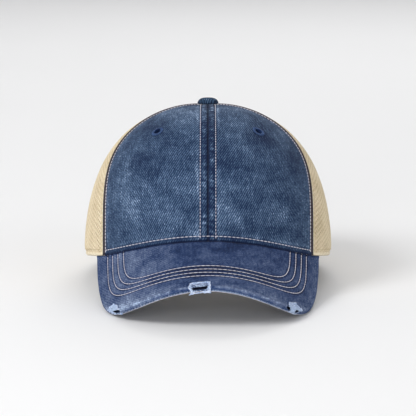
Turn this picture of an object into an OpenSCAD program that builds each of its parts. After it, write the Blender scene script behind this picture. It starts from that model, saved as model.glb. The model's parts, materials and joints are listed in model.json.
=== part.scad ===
// Trucker cap: two washed twill front panels, four mesh panels, a curved visor and a snap strap.
// Cap frame while building: z up from the crown's widest line, front towards -y, wearer's left +x.
// The finished cap is then tipped so that it stands on the visor's tips and the rim's back corners.

/* [Crown] */
// Half of the crown's outside width, ear to ear
crown_half_w = 88; // [84:0.5:94]
// Half of the crown's outside depth, forehead to nape
crown_half_d = 102.3; // [98:0.1:108]
// Height of the crown above its widest line
crown_h = 109.4; // [104:0.1:116]
// Fullness of the crown's profile (2 is an ellipse, more is boxier)
crown_n = 2.38; // [2.2:0.01:2.6]
// Height of the rim over the middle of the forehead
rim_front_z = 15.1; // [12:0.1:18]
// Height of the rim over the ears
rim_side_z = 3.4; // [2.5:0.1:5]
// Height of the rim at the nape
rim_back_z = 2.2; // [1.5:0.1:3.5]

/* [Panels] */
// Angle of the front to side seam at the rim, from the middle of the forehead
front_seam_deg = 53.9; // [50:0.1:57]
// How far the front to side seam bows backwards on its way up, in degrees
front_seam_bow = 9.6; // [6:0.1:13]
// Angle of the side to back seam
back_seam_deg = 120; // [116:0.5:124]
// Thickness of the washed twill
twill_t = 1; // [0.8:0.05:1.3]
// Thickness of the stiff backing behind the front panels
backing_t = 1; // [0.7:0.05:1.3]
// Thickness of the mesh
mesh_t = 1; // [0.8:0.05:1.3]
// Space between two layers of cloth
layer_gap = 0.15; // [0.13:0.01:0.2]
// Space between two panels at their seam
seam_gap = 0.4; // [0.3:0.05:0.6]

/* [Tapes and sweatband] */
// Width of the tape over each inside seam
tape_w = 12; // [10:0.5:14]
// Thickness of the tapes and of the opening's binding
tape_t = 0.6; // [0.4:0.05:0.8]
// Height of the hem tape inside the mesh
hem_h = 14; // [11:0.5:16]
// Height of the sweatband
sweatband_h = 32; // [28:0.5:36]
// Thickness of the sweatband
sweatband_t = 1.2; // [0.9:0.05:1.6]

/* [Back opening] */
// Half of the angle that the opening takes at the rim
opening_half_deg = 32; // [30:0.5:34]
// Height of the top of the arched opening
opening_top_z = 62; // [56:0.5:68]
// Width of the binding on each side of the arch's edge
binding_w = 6; // [5:0.25:8]

/* [Visor] */
// Half of the angle of the rim that the visor takes
visor_half_deg = 61; // [58:0.5:64]
// Reach of the visor forward of its corners, along its slope
visor_reach = 108.7; // [102:0.1:114]
// Squareness of the visor's outline (2 is an ellipse)
visor_square = 2.71; // [2.4:0.01:3]
// Slope of the visor at its middle
visor_pitch = 24.8; // [20:0.1:28]
// How much steeper the visor is at its corners
visor_droop = 14; // [10:0.1:17]
// How much the visor's sides turn in towards the front, in degrees
visor_turn_in = 3.6; // [1:0.1:5]
// Thickness of the cloth over and under the visor's board
cover_t = 0.7; // [0.5:0.05:1.2]
// Thickness of the visor's board
board_t = 1.6; // [1.2:0.1:2.6]
// How far the board stays inside the covers' edge
board_inset = 2; // [1.6:0.1:3]

/* [Button and eyelets] */
// Diameter of the covered button
button_d = 15.3; // [13:0.1:17]
// Height of the covered button
button_h = 5; // [4:0.1:6.5]
// Thickness of the cloth over the button
button_cloth_t = 0.6; // [0.4:0.05:0.8]
// Thickness of the button's metal cap
button_metal_t = 0.5; // [0.4:0.05:0.8]
// Diameter of the button's rivet
rivet_d = 3; // [2.4:0.1:3.6]
// Diameter of the washer that the rivet is closed over
washer_d = 14; // [11:0.5:16]
// Thickness of that washer
washer_t = 0.8; // [0.6:0.05:1.2]
// Diameter of the hole through a sewn eyelet
eyelet_bore_d = 4.4; // [3.6:0.1:5]
// Outside diameter of a sewn eyelet
eyelet_outer_d = 9; // [8:0.1:10]
// Thickness of the thread in an eyelet
eyelet_thread_t = 0.5; // [0.4:0.05:0.6]
// Angle of the eyelets from the middle of the forehead
eyelet_deg = 35.5; // [30:0.5:40]
// Distance of the eyelets from the button, as a share of the crown's half width
eyelet_share = 0.675; // [0.55:0.005:0.75]

/* [Snap strap] */
// Height of the strap
strap_h = 19; // [16:0.5:21]
// Thickness of the strap
strap_t = 1.3; // [1:0.05:1.6]
// Height of the strap's lower edge above the rim at the nape
strap_lift = 3.4; // [3:0.1:5]
// Distance between two snap pegs along the strap
peg_pitch = 9; // [8.4:0.1:9.4]
// Number of pegs on one half and of holes in the other
peg_count = 7; // [5:1:7]
// Number of pegs that are snapped shut
pegs_closed = 4; // [2:1:5]
// Diameter of a peg
peg_d = 3.2; // [2.6:0.1:3.4]
// How far a peg's head stands out of its hole
peg_head = 0.6; // [0.4:0.1:0.9]
// Space round a peg in its hole
peg_play = 0.7; // [0.65:0.05:0.9]
// Space between the two halves of the strap
strap_slip = 0.3; // [0.3:0.05:0.5]
// Length of each strap's root between the hem and the sweatband
root_l = 13; // [12:0.5:15]
// Space between a strap's root and its flex line
flex_gap = 0.2; // [0.15:0.05:0.3]

/* [Hidden] */

$fn = 48;
tiny = 0.001;

// ---- Crown surface -------------------------------------------------------------------------
// A flattened dome: az is the angle from the forehead, rise runs from 0 at the button to 90 degrees
// at the widest line, and off is the distance out of the surface.

function share_at(rise) = pow(sin(rise), 2/crown_n);
function rise_at_share(share) = asin(pow(share, crown_n/2));
function rise_at_z(z) = acos(pow(max(z, 0)/crown_h, crown_n/2));

function crown_pt(az, rise, off = 0) =
    let (s = share_at(rise), c = pow(cos(rise), 2/crown_n),
         p = [crown_half_w*s*sin(az), -crown_half_d*s*cos(az), crown_h*c],
         slope = pow(s, crown_n - 2),
         g = [slope*p.x/pow(crown_half_w, 2), slope*p.y/pow(crown_half_d, 2),
              pow(c, crown_n - 1)/crown_h])
    p + off*g/norm(g);

function crown_radius(az, rise) = share_at(rise)*norm([crown_half_w*sin(az), crown_half_d*cos(az)]);

// The rim arches up over the forehead and falls a little towards the nape.
rim_arch_power = 1.6;
rim_fall_deg = 30;
rim_gap = 0.3;
function rim_z(az) =
    let (a = abs(az))
    a < visor_half_deg
        ? rim_side_z + (rim_front_z - rim_side_z)*pow(cos(90*a/visor_half_deg), rim_arch_power)
        : rim_side_z - (rim_side_z - rim_back_z)*min(1, (a - visor_half_deg)/rim_fall_deg);
function hem_z(az) = rim_z(az) + rim_gap;

// The arched opening, q degrees from the middle of the nape
function arch_z(q) =
    let (low = hem_z(180))
    low + (opening_top_z - low)*sqrt(max(0, 1 - pow(q/opening_half_deg, 2)));
function back_low_z(az) = 180 - az < opening_half_deg ? arch_z(180 - az) : hem_z(az);

// Seams, as angles that follow the share of the way from the button to the rim
sixth = 60;
seam_centre = function(s) 0;
seam_front = function(s) sixth + (front_seam_deg - sixth)*pow(s, 4)
    + front_seam_bow*sin(180*pow(s, 2.26));
seam_back = function(s) 2*sixth + (back_seam_deg - 2*sixth)*s;
seam_nape = function(s) 180;

// ---- Layers of cloth, as distances out of the crown's surface --------------------------------
backing_off = -twill_t - layer_gap;
front_tape_off = backing_off - backing_t - layer_gap;
mesh_tape_off = -mesh_t - layer_gap;
band_off = front_tape_off - tape_t - layer_gap - 0.05;

// ---- Solids from grids of points ---------------------------------------------------------------
function grid_cell(a, b, c, d) = [[a, b, c], [a, c, d]];

// Closed shell between two grids with the same rows and columns
module shell(outer, inner) {
    rows = len(outer);
    cols = len(outer[0]);
    all = rows*cols;
    function at(i, j) = i*cols + j;
    points = concat([for (r = outer) each r], [for (r = inner) each r]);
    skin = [for (i = [0:rows - 2], j = [0:cols - 2])
        each grid_cell(at(i, j), at(i, j + 1), at(i + 1, j + 1), at(i + 1, j))];
    lining = [for (f = skin) [f[0] + all, f[2] + all, f[1] + all]];
    ends = [for (j = [0:cols - 2]) each concat(
        grid_cell(at(0, j + 1), at(0, j), at(0, j) + all, at(0, j + 1) + all),
        grid_cell(at(rows - 1, j), at(rows - 1, j + 1),
                  at(rows - 1, j + 1) + all, at(rows - 1, j) + all))];
    sides = [for (i = [0:rows - 2]) each concat(
        grid_cell(at(i, 0), at(i + 1, 0), at(i + 1, 0) + all, at(i, 0) + all),
        grid_cell(at(i + 1, cols - 1), at(i, cols - 1),
                  at(i, cols - 1) + all, at(i + 1, cols - 1) + all))];
    polyhedron(concat(points), concat(skin, lining, ends, sides));
}

// ---- Panels -------------------------------------------------------------------------------------
pole_hole_r = rivet_d/2 + 1.7;
pole_rise = rise_at_share(pole_hole_r/crown_half_w);
panel_rows = 20;

// Points of one panel between two seams, columns at the given shares of its width
function panel_grid(seam_a, seam_b, columns, low, off) =
    [for (i = [0:panel_rows]) [for (u = columns)
        let (rim_az = seam_a(1) + (seam_b(1) - seam_a(1))*u,
             rise = pole_rise + (rise_at_z(low(rim_az)) - pole_rise)*i/panel_rows,
             s = share_at(rise),
             edge = atan(seam_gap/2/(crown_half_w*s)),
             a = seam_a(s) + edge,
             b = seam_b(s) - edge)
        crown_pt(a + (b - a)*u, rise, off)]];

module panel(seam_a, seam_b, columns, low, off, t)
    shell(panel_grid(seam_a, seam_b, columns, low, off),
          panel_grid(seam_a, seam_b, columns, low, off - t));

function even(n) = [for (i = [0:n]) i/n];
rim_low = function(az) hem_z(az);
back_low = function(az) back_low_z(az);
back_span = 180 - back_seam_deg;
back_columns = concat(
    [for (i = [0:5]) (back_span - opening_half_deg)*i/6/back_span],
    [for (i = [0:10]) 1 - opening_half_deg*sin(90 - 9*i)/back_span]);

module front_twill() difference() {
    panel(seam_centre, seam_front, even(14), rim_low, 0, twill_t);
    at_eyelet() eyelet_clearance();
}
module front_buckram() difference() {
    panel(seam_centre, seam_front, even(14), rim_low, backing_off, backing_t);
    at_eyelet() eyelet_clearance();
}
module side_mesh() panel(seam_front, seam_back, even(12), rim_low, 0, mesh_t);
module back_mesh() panel(seam_back, seam_nape, back_columns, back_low, 0, mesh_t);

// ---- Tapes over the seams, inside ----------------------------------------------------------------
tape_rows = 20;
tape_start_share = 0.14;

module seam_tape(seam, low_z, off) {
    top = rise_at_share(tape_start_share);
    low = rise_at_z(low_z);
    function strip(o) = [for (i = [0:tape_rows]) [for (k = [-1:1])
        let (rise = top + (low - top)*i/tape_rows,
             az = seam(share_at(rise)))
        crown_pt(az + atan(k*tape_w/2/crown_radius(az, rise)), rise, o)]];
    shell(strip(off), strip(off - tape_t));
}

tape_clearance = 1;
module front_side_tape() seam_tape(seam_front, hem_z(front_seam_deg) + rim_gap, front_tape_off);
module side_back_tape() seam_tape(seam_back, hem_z(back_seam_deg) + hem_h + tape_clearance, mesh_tape_off);

// Band of cloth round the rim from angle a to angle b, with its height above the rim
module rim_band(a, b, cols, lift, h, rows, off, t) {
    function band(o) = [for (i = [rows:-1:0]) [for (j = [0:cols])
        let (az = a + (b - a)*j/cols)
        crown_pt(az, rise_at_z(hem_z(az) + lift + h*i/rows), off(az) + o)]];
    shell(band(0), band(-t));
}

hem_end_deg = 180 - opening_half_deg - atan((binding_w + tape_clearance)/crown_half_w)*1.15;
hem_off = function(az) mesh_tape_off - 0.05;
module hem_tape() rim_band(front_seam_deg + 2, hem_end_deg, 24, rim_gap, hem_h, 3, hem_off, tape_t);

// Space between the mesh's edge and the fold of the binding
binding_edge = 0.3;

// ---- Snap strap: two curved halves on one circle through the opening -------------------------------
window_x = crown_half_w*sin(opening_half_deg);
window_y = crown_half_d*cos(opening_half_deg);
window_sag = crown_half_d - window_y;
strap_circle_r = (pow(window_x, 2) + pow(window_sag, 2))/(2*window_sag);
strap_y = crown_half_d - strap_circle_r;
strap_z = hem_z(180) + strap_lift;
strap_mid_z = strap_z + strap_h/2;
wall_lean = crown_half_d*(1 - share_at(rise_at_z(strap_z + strap_h)));
hole_strap_r = strap_circle_r + mesh_tape_off - tape_t - wall_lean - rim_gap;
peg_strap_r = hole_strap_r - strap_t - strap_slip;
flex_relief = 0.1;
round_d = strap_h + 0.6;
end_l = peg_pitch - peg_d/2 - 1;

// The flex line stays clear of the binding at the height of the strap's top.
flex_edge = crown_pt(180 - opening_half_deg*sqrt(1 - pow((strap_z + strap_h - hem_z(180))
    /(opening_top_z - hem_z(180)), 2)), rise_at_z(strap_z + strap_h));
flex_x = flex_edge.x - binding_edge - tape_t - strap_t;
flex_deg = asin(flex_x/hole_strap_r);
pitch_deg = peg_pitch/hole_strap_r*180/PI;
hole_d = peg_d + 2*peg_play;
first_deg = -pitch_deg*(pegs_closed - 1)/2;
end_deg = first_deg - (end_l - round_d/2)/hole_strap_r*180/PI;

module on_strap(deg, r) translate([0, strap_y, 0]) rotate([0, 0, -deg])
    translate([0, r, strap_mid_z]) rotate([-90, 0, 0]) children();

module strap_arc(r_out, a, b) translate([0, strap_y, strap_z]) rotate([0, 0, 90 - b])
    rotate_extrude(angle = b - a, $fn = 96) translate([r_out - strap_t, 0]) square([strap_t, strap_h]);

// One half of the strap, with a round free end and a rounded flex line
module strap_half(r_out) {
    difference() {
        strap_arc(r_out, end_deg - strap_h*0.7/r_out*180/PI, flex_deg);
        on_strap(end_deg, r_out - strap_t - 2) difference() {
            translate([-strap_h, -strap_h, 0]) cube([strap_h, 2*strap_h, strap_t + 4]);
            translate([0, 0, -1]) cylinder(d = round_d, h = strap_t + 6);
        }
    }
    on_strap(flex_deg, r_out - strap_t/2) rotate([90, 0, 0])
        cylinder(d = strap_t - flex_relief, h = strap_h - flex_relief, center = true);
}

// The root stays sewn between the hem and the sweatband
module strap_root(r_out) {
    start = flex_deg + (strap_t/2 + flex_gap)/r_out*180/PI;
    strap_arc(r_out, start, start + root_l/r_out*180/PI);
}

module peg() rotate_extrude() {
    neck = strap_slip + strap_t + 0.2;
    polygon(concat([[0, -0.2], [peg_d/2, -0.2], [peg_d/2, neck - 0.2]],
        [for (a = [15:15:90]) [peg_d/2*cos(a), neck - 0.2 + peg_head*sin(a)]]));
}

module hole_strap_half() difference() {
    strap_half(hole_strap_r);
    for (i = [0:peg_count - 1]) on_strap(first_deg + i*pitch_deg, hole_strap_r - strap_t - 1)
        cylinder(d = hole_d, h = strap_t + 2);
}

module peg_strap_half() mirror([1, 0, 0]) union() {
    strap_half(peg_strap_r);
    for (i = [0:peg_count - 1]) on_strap(first_deg + i*pitch_deg, peg_strap_r) peg();
}

// ---- Sweatband: hugs the front layers, and steps inwards to pass behind the strap's roots ---------
root_end_deg = flex_deg + (root_l + strap_t)/hole_strap_r*180/PI;
root_end_az = 180 - atan2(hole_strap_r*sin(root_end_deg)/crown_half_w,
    (strap_y + hole_strap_r*cos(root_end_deg))/crown_half_d);
band_end_az = 180 - opening_half_deg - 1.2;
band_step_deg = 16;
band_end_off = peg_strap_r - strap_t - strap_circle_r - 0.5;
band_offset = function(az)
    let (k = min(1, max(0, (abs(az) - (root_end_az - 4 - band_step_deg))/band_step_deg)))
    band_off + (band_end_off - band_off)*k*k*(3 - 2*k);

// ---- Binding of the opening's edge ------------------------------------------------------------------
binding_rings = 24;

function arch_pt(t, off) =
    let (q = opening_half_deg*sin(t))
    crown_pt(180 - q, rise_at_z(arch_z(abs(q))), off);

function binding_ring(t) =
    let (p = arch_pt(t, 0), n = arch_pt(t, 1) - p,
         along = arch_pt(min(90, t + 2), 0) - arch_pt(max(-90, t - 2), 0),
         side = cross(along, n)/norm(cross(along, n)),
         bend = 2*crown_half_w,
         profile = [[-binding_edge - tape_t, layer_gap + tape_t], [binding_w, layer_gap + tape_t],
                    [binding_w, layer_gap], [-binding_edge, layer_gap],
                    [-binding_edge, mesh_tape_off], [binding_w, mesh_tape_off],
                    [binding_w, mesh_tape_off - tape_t], [-binding_edge - tape_t, mesh_tape_off - tape_t]])
    [for (q = profile) p + side*q.x + n*(q.y - q.x*q.x/bend)];

module folded_binding() {
    rings = [for (i = [0:binding_rings]) binding_ring(-90 + 180*i/binding_rings)];
    m = len(rings[0]);
    last = binding_rings*m;
    walls = [for (i = [0:binding_rings - 1], j = [0:m - 1])
        each grid_cell(i*m + j, i*m + (j + 1) % m, (i + 1)*m + (j + 1) % m, (i + 1)*m + j)];
    cap = [[0, 1, 2], [0, 2, 3], [0, 3, 4], [0, 4, 7], [7, 4, 5], [7, 5, 6]];
    polyhedron([for (r = rings) each r],
        concat(walls, [for (f = cap) [f[0], f[2], f[1]]], [for (f = cap) f + [last, last, last]]));
}

// ---- Visor: straight rulings that leave the rim, steeper towards the corners -----------------------
// r runs from -1 at one corner to 1 at the other, l is the distance from the rim along a ruling.
visor_start = 0.3;

function visor_root(r) = crown_pt(r*visor_half_deg, rise_at_z(rim_z(r*visor_half_deg)));
function visor_dir(r) =
    let (pitch = visor_pitch + visor_droop*r*r, turn = -visor_turn_in*r)
    [sin(turn)*cos(pitch), -cos(turn)*cos(pitch), -sin(pitch)];
function visor_pt(r, l, off) =
    let (p = visor_root(r) + l*visor_dir(r), step = 0.01,
         across = visor_root(r + step) + l*visor_dir(r + step)
             - visor_root(r - step) - l*visor_dir(r - step),
         n = cross(visor_dir(r), across))
    p + off*n/norm(n);

// Reach of a point of the rim along the middle slope, from the visor's corners
slope_dir = [0, -cos(visor_pitch), -sin(visor_pitch)];
corner_reach = visor_root(1)*slope_dir;
function root_reach(r) = visor_root(r)*slope_dir - corner_reach;

// Rays fan out from between the corners: t is the ray's angle, k is 1 at the visor's outline.
function ray_r(t, k) = k*sign(t)*pow(sin(abs(t)), 2/visor_square);
function ray_l(t, k) =
    k*visor_reach*pow(cos(t), 2/visor_square) - root_reach(ray_r(t, k));
function ray_start(t, low = 0, high = 1, n = 24) =
    let (mid = (low + high)/2)
    n == 0 ? mid : ray_l(t, mid) > visor_start ? ray_start(t, low, mid, n - 1)
                                               : ray_start(t, mid, high, n - 1);
function last_ray(k, low = 45, high = 89.9, n = 20) =
    let (mid = (low + high)/2)
    n == 0 ? mid : ray_start(mid) < k ? last_ray(k, mid, high, n - 1) : last_ray(k, low, mid, n - 1);

visor_cols = 44;
visor_arc_r = 86;
lip_k = 1 - (board_inset - 0.4)/visor_arc_r;
board_k = 1 - board_inset/visor_arc_r;
cover_last = last_ray(0.985);
board_last = last_ray(board_k - 0.03);
visor_shares = [0, 0.25, 0.5, 0.75, 1];

function ray_angle(j, last) = last*(2*j/visor_cols - 1);
function visor_grid(last, k_out, off) =
    [for (v = visor_shares) [for (j = [0:visor_cols])
        let (t = ray_angle(j, last), k0 = ray_start(t), k = k0 + (max(k_out, (k0 + 1)/2) - k0)*v)
        visor_pt(ray_r(t, k), ray_l(t, k), off)]];
function visor_edge(off) = [for (j = [0:visor_cols])
    let (t = ray_angle(j, cover_last)) visor_pt(ray_r(t, 1), ray_l(t, 1), off)];

// Covers meet in the middle of the board's edge.
board_off = -cover_t - layer_gap;
under_off = board_off - board_t - layer_gap;
visor_mid_off = (board_off - board_t/2);
cover_gap = 0.1;
visor_t = -under_off + cover_t;

module visor_top() shell(
    concat(visor_grid(cover_last, lip_k, 0), [visor_edge(0)]),
    concat(visor_grid(cover_last, lip_k, -cover_t), [visor_edge(visor_mid_off + cover_gap/2)]));
module visor_under() shell(
    concat(visor_grid(cover_last, lip_k, under_off), [visor_edge(visor_mid_off - cover_gap/2)]),
    concat(visor_grid(cover_last, lip_k, -visor_t), [visor_edge(-visor_t)]));
module visor_core() shell(
    visor_grid(board_last, board_k, board_off), visor_grid(board_last, board_k, board_off - board_t));

// ---- Button and eyelets ---------------------------------------------------------------------------
button_z = crown_h + layer_gap;
button_base = 0.4;
function button_profile(r, h) =
    [for (a = [0:7.5:90]) [r*pow(cos(a), 0.7), button_base + (h - button_base)*pow(sin(a), 0.9)]];

module button_dome(r, h) rotate_extrude($fn = 64)
    polygon(concat([[0, 0], [r - 0.3, 0]], button_profile(r, h)));

shell_r = button_d/2 - button_cloth_t - tiny;
shell_top = button_h - button_cloth_t - tiny;
washer_top = crown_h + front_tape_off - layer_gap;
module washer_ring() translate([0, 0, washer_top - washer_t]) difference() {
    cylinder(d = washer_d, h = washer_t);
    translate([0, 0, -1]) cylinder(d = rivet_d + 0.1, h = washer_t + 2);
}
module metal_button() {
    translate([0, 0, button_z]) difference() {
        button_dome(shell_r, shell_top);
        translate([0, 0, -tiny]) cylinder(r = shell_r - 1.6, h = button_metal_t + 0.6);
    }
    translate([0, 0, washer_top - washer_t - 0.6])
        cylinder(d = rivet_d, h = button_z - washer_top + washer_t + 0.6 + button_h/2);
}
module cloth_button() translate([0, 0, button_z]) difference() {
    button_dome(button_d/2, button_h);
    translate([0, 0, -1]) button_hollow();
}
module button_hollow() {
    cylinder(r = shell_r - 0.25, h = 1 + tiny);
    translate([0, 0, 1]) button_dome(shell_r + tiny, shell_top + tiny);
}

eyelet_rise = rise_at_share(eyelet_share);
eyelet_pos = crown_pt(eyelet_deg, eyelet_rise);
eyelet_axis = crown_pt(eyelet_deg, eyelet_rise, 1) - eyelet_pos;
eyelet_hole_r = eyelet_bore_d/2 + eyelet_thread_t + 0.15;
eyelet_back = front_tape_off - 0.15;
eyelet_seat = 0.15;

module at_eyelet() translate(eyelet_pos)
    rotate([0, acos(eyelet_axis.z), atan2(eyelet_axis.y, eyelet_axis.x)]) children();
module eyelet_clearance() translate([0, 0, eyelet_back - 3])
    cylinder(r = eyelet_hole_r, h = 6 - eyelet_back);
module eyelet_ring() at_eyelet() rotate_extrude()
    polygon([[eyelet_bore_d/2, eyelet_back - eyelet_thread_t], [eyelet_outer_d/2 - 0.5, eyelet_back - eyelet_thread_t],
        [eyelet_outer_d/2 - 0.5, eyelet_back], [eyelet_bore_d/2 + eyelet_thread_t, eyelet_back],
        [eyelet_bore_d/2 + eyelet_thread_t, eyelet_seat], [eyelet_outer_d/2, eyelet_seat],
        [eyelet_outer_d/2, eyelet_seat + eyelet_thread_t], [eyelet_bore_d/2, eyelet_seat + eyelet_thread_t]]);

// ---- How the cap stands --------------------------------------------------------------------------
function tip(p, a) = [p.x, p.y*cos(a) + p.z*sin(a), p.z*cos(a) - p.y*sin(a)];
function lowest(points, a) = min([for (p = points) tip(p, a).z]);
visor_rim_points = concat(visor_edge(0), visor_edge(-visor_t));
nape_points = concat(binding_ring(90),
    [for (q = [opening_half_deg:2:50]) crown_pt(180 - q, rise_at_z(hem_z(180)))],
    [for (b = [0:4:36]) [0, strap_y, strap_z] + hole_strap_r*[sin(b), cos(b), 0]]);
function stand_angle(low = 0, high = 20, n = 30) =
    let (mid = (low + high)/2)
    n == 0 ? mid : lowest(visor_rim_points, mid) < lowest(nape_points, mid)
        ? stand_angle(mid, high, n - 1) : stand_angle(low, mid, n - 1);
stand_deg = stand_angle();
floor_z = lowest(visor_rim_points, stand_deg);
back_points = concat([for (a = [120:5:180], i = [0:2:90])
        let (p = crown_pt(a, max(i, 5))) if (p.z > back_low_z(a)) p],
    [for (t = [0:15:90]) arch_pt(t, layer_gap + tape_t)],
    [[0, strap_y + hole_strap_r, strap_z + strap_h]]);
back_y = max([for (p = back_points) tip(p, stand_deg).y]);
front_y = min([for (p = visor_rim_points) tip(p, stand_deg).y]);

module stand() translate([0, -(back_y + front_y)/2, -floor_z]) rotate([-stand_deg, 0, 0]) children();
module other_side() mirror([1, 0, 0]) children();

// ---- Sub-parts --------------------------------------------------------------------------------------
denim = "#3f5480";
dark_denim = "#2c3c60";
tan_mesh = "#d6c6a0";
cream = "#c9bda6";
clear_grey = "#2b3350";

module front_panel_left() color(denim) stand() front_twill();
module front_panel_right() color(denim) stand() other_side() front_twill();
module front_backing_left() color("white") stand() front_buckram();
module front_backing_right() color("white") stand() other_side() front_buckram();
module side_mesh_left() color(tan_mesh) stand() side_mesh();
module side_mesh_right() color(tan_mesh) stand() other_side() side_mesh();
module back_mesh_left() color(tan_mesh) stand() back_mesh();
module back_mesh_right() color(tan_mesh) stand() other_side() back_mesh();
module front_centre_tape() color(cream) stand() seam_tape(seam_centre, hem_z(0) + rim_gap, front_tape_off);
module front_side_tape_left() color(cream) stand() front_side_tape();
module front_side_tape_right() color(cream) stand() other_side() front_side_tape();
module side_back_tape_left() color(cream) stand() side_back_tape();
module side_back_tape_right() color(cream) stand() other_side() side_back_tape();
module back_centre_tape() color(cream) stand()
    seam_tape(seam_nape, opening_top_z + binding_w + tape_clearance, mesh_tape_off);
module hem_tape_left() color(cream) stand() hem_tape();
module hem_tape_right() color(cream) stand() other_side() hem_tape();
module sweatband() color(dark_denim) stand()
    rim_band(-band_end_az, band_end_az, 72, rim_gap, sweatband_h, 4, band_offset, sweatband_t);
module opening_binding() color(cream) stand() folded_binding();
module visor_top_cover() color(denim) stand() visor_top();
module visor_board() color("white") stand() visor_core();
module visor_under_cover() color(dark_denim) stand() visor_under();
module button_cover() color(dark_denim) stand() cloth_button();
module button_shell() color("silver") stand() metal_button();
module button_washer() color("silver") stand() washer_ring();
module eyelet_left() color(denim) stand() eyelet_ring();
module eyelet_right() color(denim) stand() other_side() eyelet_ring();
module hole_strap() color(clear_grey) stand() hole_strap_half();
module hole_strap_root() color(clear_grey) stand() strap_root(hole_strap_r);
module peg_strap() color(clear_grey) stand() peg_strap_half();
module peg_strap_root() color(clear_grey) stand() other_side() strap_root(peg_strap_r);

front_panel_left();
front_panel_right();
front_backing_left();
front_backing_right();
side_mesh_left();
side_mesh_right();
back_mesh_left();
back_mesh_right();
front_centre_tape();
front_side_tape_left();
front_side_tape_right();
side_back_tape_left();
side_back_tape_right();
back_centre_tape();
hem_tape_left();
hem_tape_right();
sweatband();
opening_binding();
visor_top_cover();
visor_board();
visor_under_cover();
button_cover();
button_shell();
button_washer();
eyelet_left();
eyelet_right();
hole_strap();
hole_strap_root();
peg_strap();
peg_strap_root();
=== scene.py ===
"""Trucker cap with washed twill front panels, knitted mesh panels, a frayed visor and a snap strap.

Every cloth piece is built on the same surfaces as the cap's solids. Sizes are in millimetres in the
cap's own frame: z up from the crown's widest line, the front towards -y, the wearer's left at +x.
"""

import bisect
import itertools
import json
import logging
import math
import random
from collections.abc import Callable, Iterable, Mapping, Sequence
from dataclasses import dataclass, field
from enum import Enum
from typing import Any

import bmesh
import bpy
from mathutils import Matrix, Vector, noise


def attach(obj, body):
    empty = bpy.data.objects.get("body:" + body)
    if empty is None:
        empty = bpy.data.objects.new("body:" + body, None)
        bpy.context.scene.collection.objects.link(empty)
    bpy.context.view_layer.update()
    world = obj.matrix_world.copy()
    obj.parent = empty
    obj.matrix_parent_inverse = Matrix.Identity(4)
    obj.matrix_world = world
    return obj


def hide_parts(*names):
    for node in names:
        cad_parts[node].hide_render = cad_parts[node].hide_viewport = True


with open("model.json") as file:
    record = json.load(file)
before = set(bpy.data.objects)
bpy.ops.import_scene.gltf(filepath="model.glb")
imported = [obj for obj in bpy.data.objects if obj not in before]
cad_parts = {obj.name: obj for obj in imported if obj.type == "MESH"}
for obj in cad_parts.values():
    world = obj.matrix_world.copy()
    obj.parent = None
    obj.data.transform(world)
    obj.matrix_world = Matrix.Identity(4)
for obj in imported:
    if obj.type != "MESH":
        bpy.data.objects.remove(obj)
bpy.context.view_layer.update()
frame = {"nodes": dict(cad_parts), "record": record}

log = logging.getLogger("cap")
MM = 0.001
UV_UNIT = 100.0  # millimetres of cloth in one unit of the cloth map
WAVE_UNIT = math.tau / 20  # period of a wave texture at scale 1
INSIDE = Vector((0, 0, 20))  # place inside the crown that its cloth looks away from

Piece = bpy.types.Object
Tree = bpy.types.NodeTree
Socket = bpy.types.NodeSocket
Material = bpy.types.Material
Path = list[tuple[Vector, Vector]]  # places, and the direction out of the cloth at each
Seam = Callable[[float], float]  # angle of a seam at a share


# ---- Small helpers ----


def ease(x: float) -> float:
    """Smooth step of x from 0 to 1."""
    x = min(1.0, max(0.0, x))
    return x * x * (3 - 2 * x)


def hump(x: float, centre: float, width: float) -> float:
    """Bell curve of height 1 round centre."""
    return math.exp(-(((x - centre) / width) ** 2))


def between(a: float, b: float, share: float) -> float:
    """Value at a share of the way from a to b."""
    return a + (b - a) * share


def run_of(points: Sequence[Vector]) -> list[float]:
    """Lengths along a line of points, from its start to each of them."""
    steps = ((b - a).length for a, b in zip(points, points[1:]))
    return list(itertools.accumulate(steps, initial=0.0))


def locate(table: Sequence[float], value: float) -> tuple[int, float]:
    """Finds a value in a rising table.

    Args:
        table: The table.
        value: The value.

    Returns:
        Number of the entry before the value, and the share of the way to the next entry.
    """
    k = min(max(bisect.bisect_right(table, value), 1), len(table) - 1)
    return k - 1, (value - table[k - 1]) / max(table[k] - table[k - 1], 1e-9)


def halved(low: float, high: float, before: Callable[[float], bool], rounds: int = 20) -> float:
    """Halves a range down to the place where a test changes.

    Args:
        low: Lower end of the range.
        high: Upper end of the range.
        before: Tells whether a value still lies below the place.
        rounds: How often the range is halved.

    Returns:
        The place.
    """
    for _ in range(rounds):
        middle = (low + high) / 2
        low, high = (middle, high) if before(middle) else (low, middle)
    return (low + high) / 2


def drift(at: Vector, size: float, seed: float = 0.0) -> float:
    """Smooth noise from -1 to 1.

    Args:
        at: Place in the cap's frame, in millimetres.
        size: Size of a lump, in millimetres.
        seed: Moves the pattern.

    Returns:
        The noise at that place.
    """
    return noise.noise(Vector((at.x + 37 * seed, at.y, at.z - 11 * seed)) / size)


def per_metre(size_mm: float) -> float:
    """Scale of a pattern in metres whose lumps or threads have a size in millimetres."""
    return 1 / (size_mm * MM)


def linear(code: str) -> tuple[float, float, float, float]:
    """Turns an sRGB hex colour into linear RGBA.

    Args:
        code: Colour such as "#3f5480".

    Returns:
        The colour as Blender's sockets take it.
    """
    parts = [int(code[i : i + 2], 16) / 255 for i in (1, 3, 5)]
    r, g, b = (c / 12.92 if c <= 0.04045 else ((c + 0.055) / 1.055) ** 2.4 for c in parts)
    return r, g, b, 1.0


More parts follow.
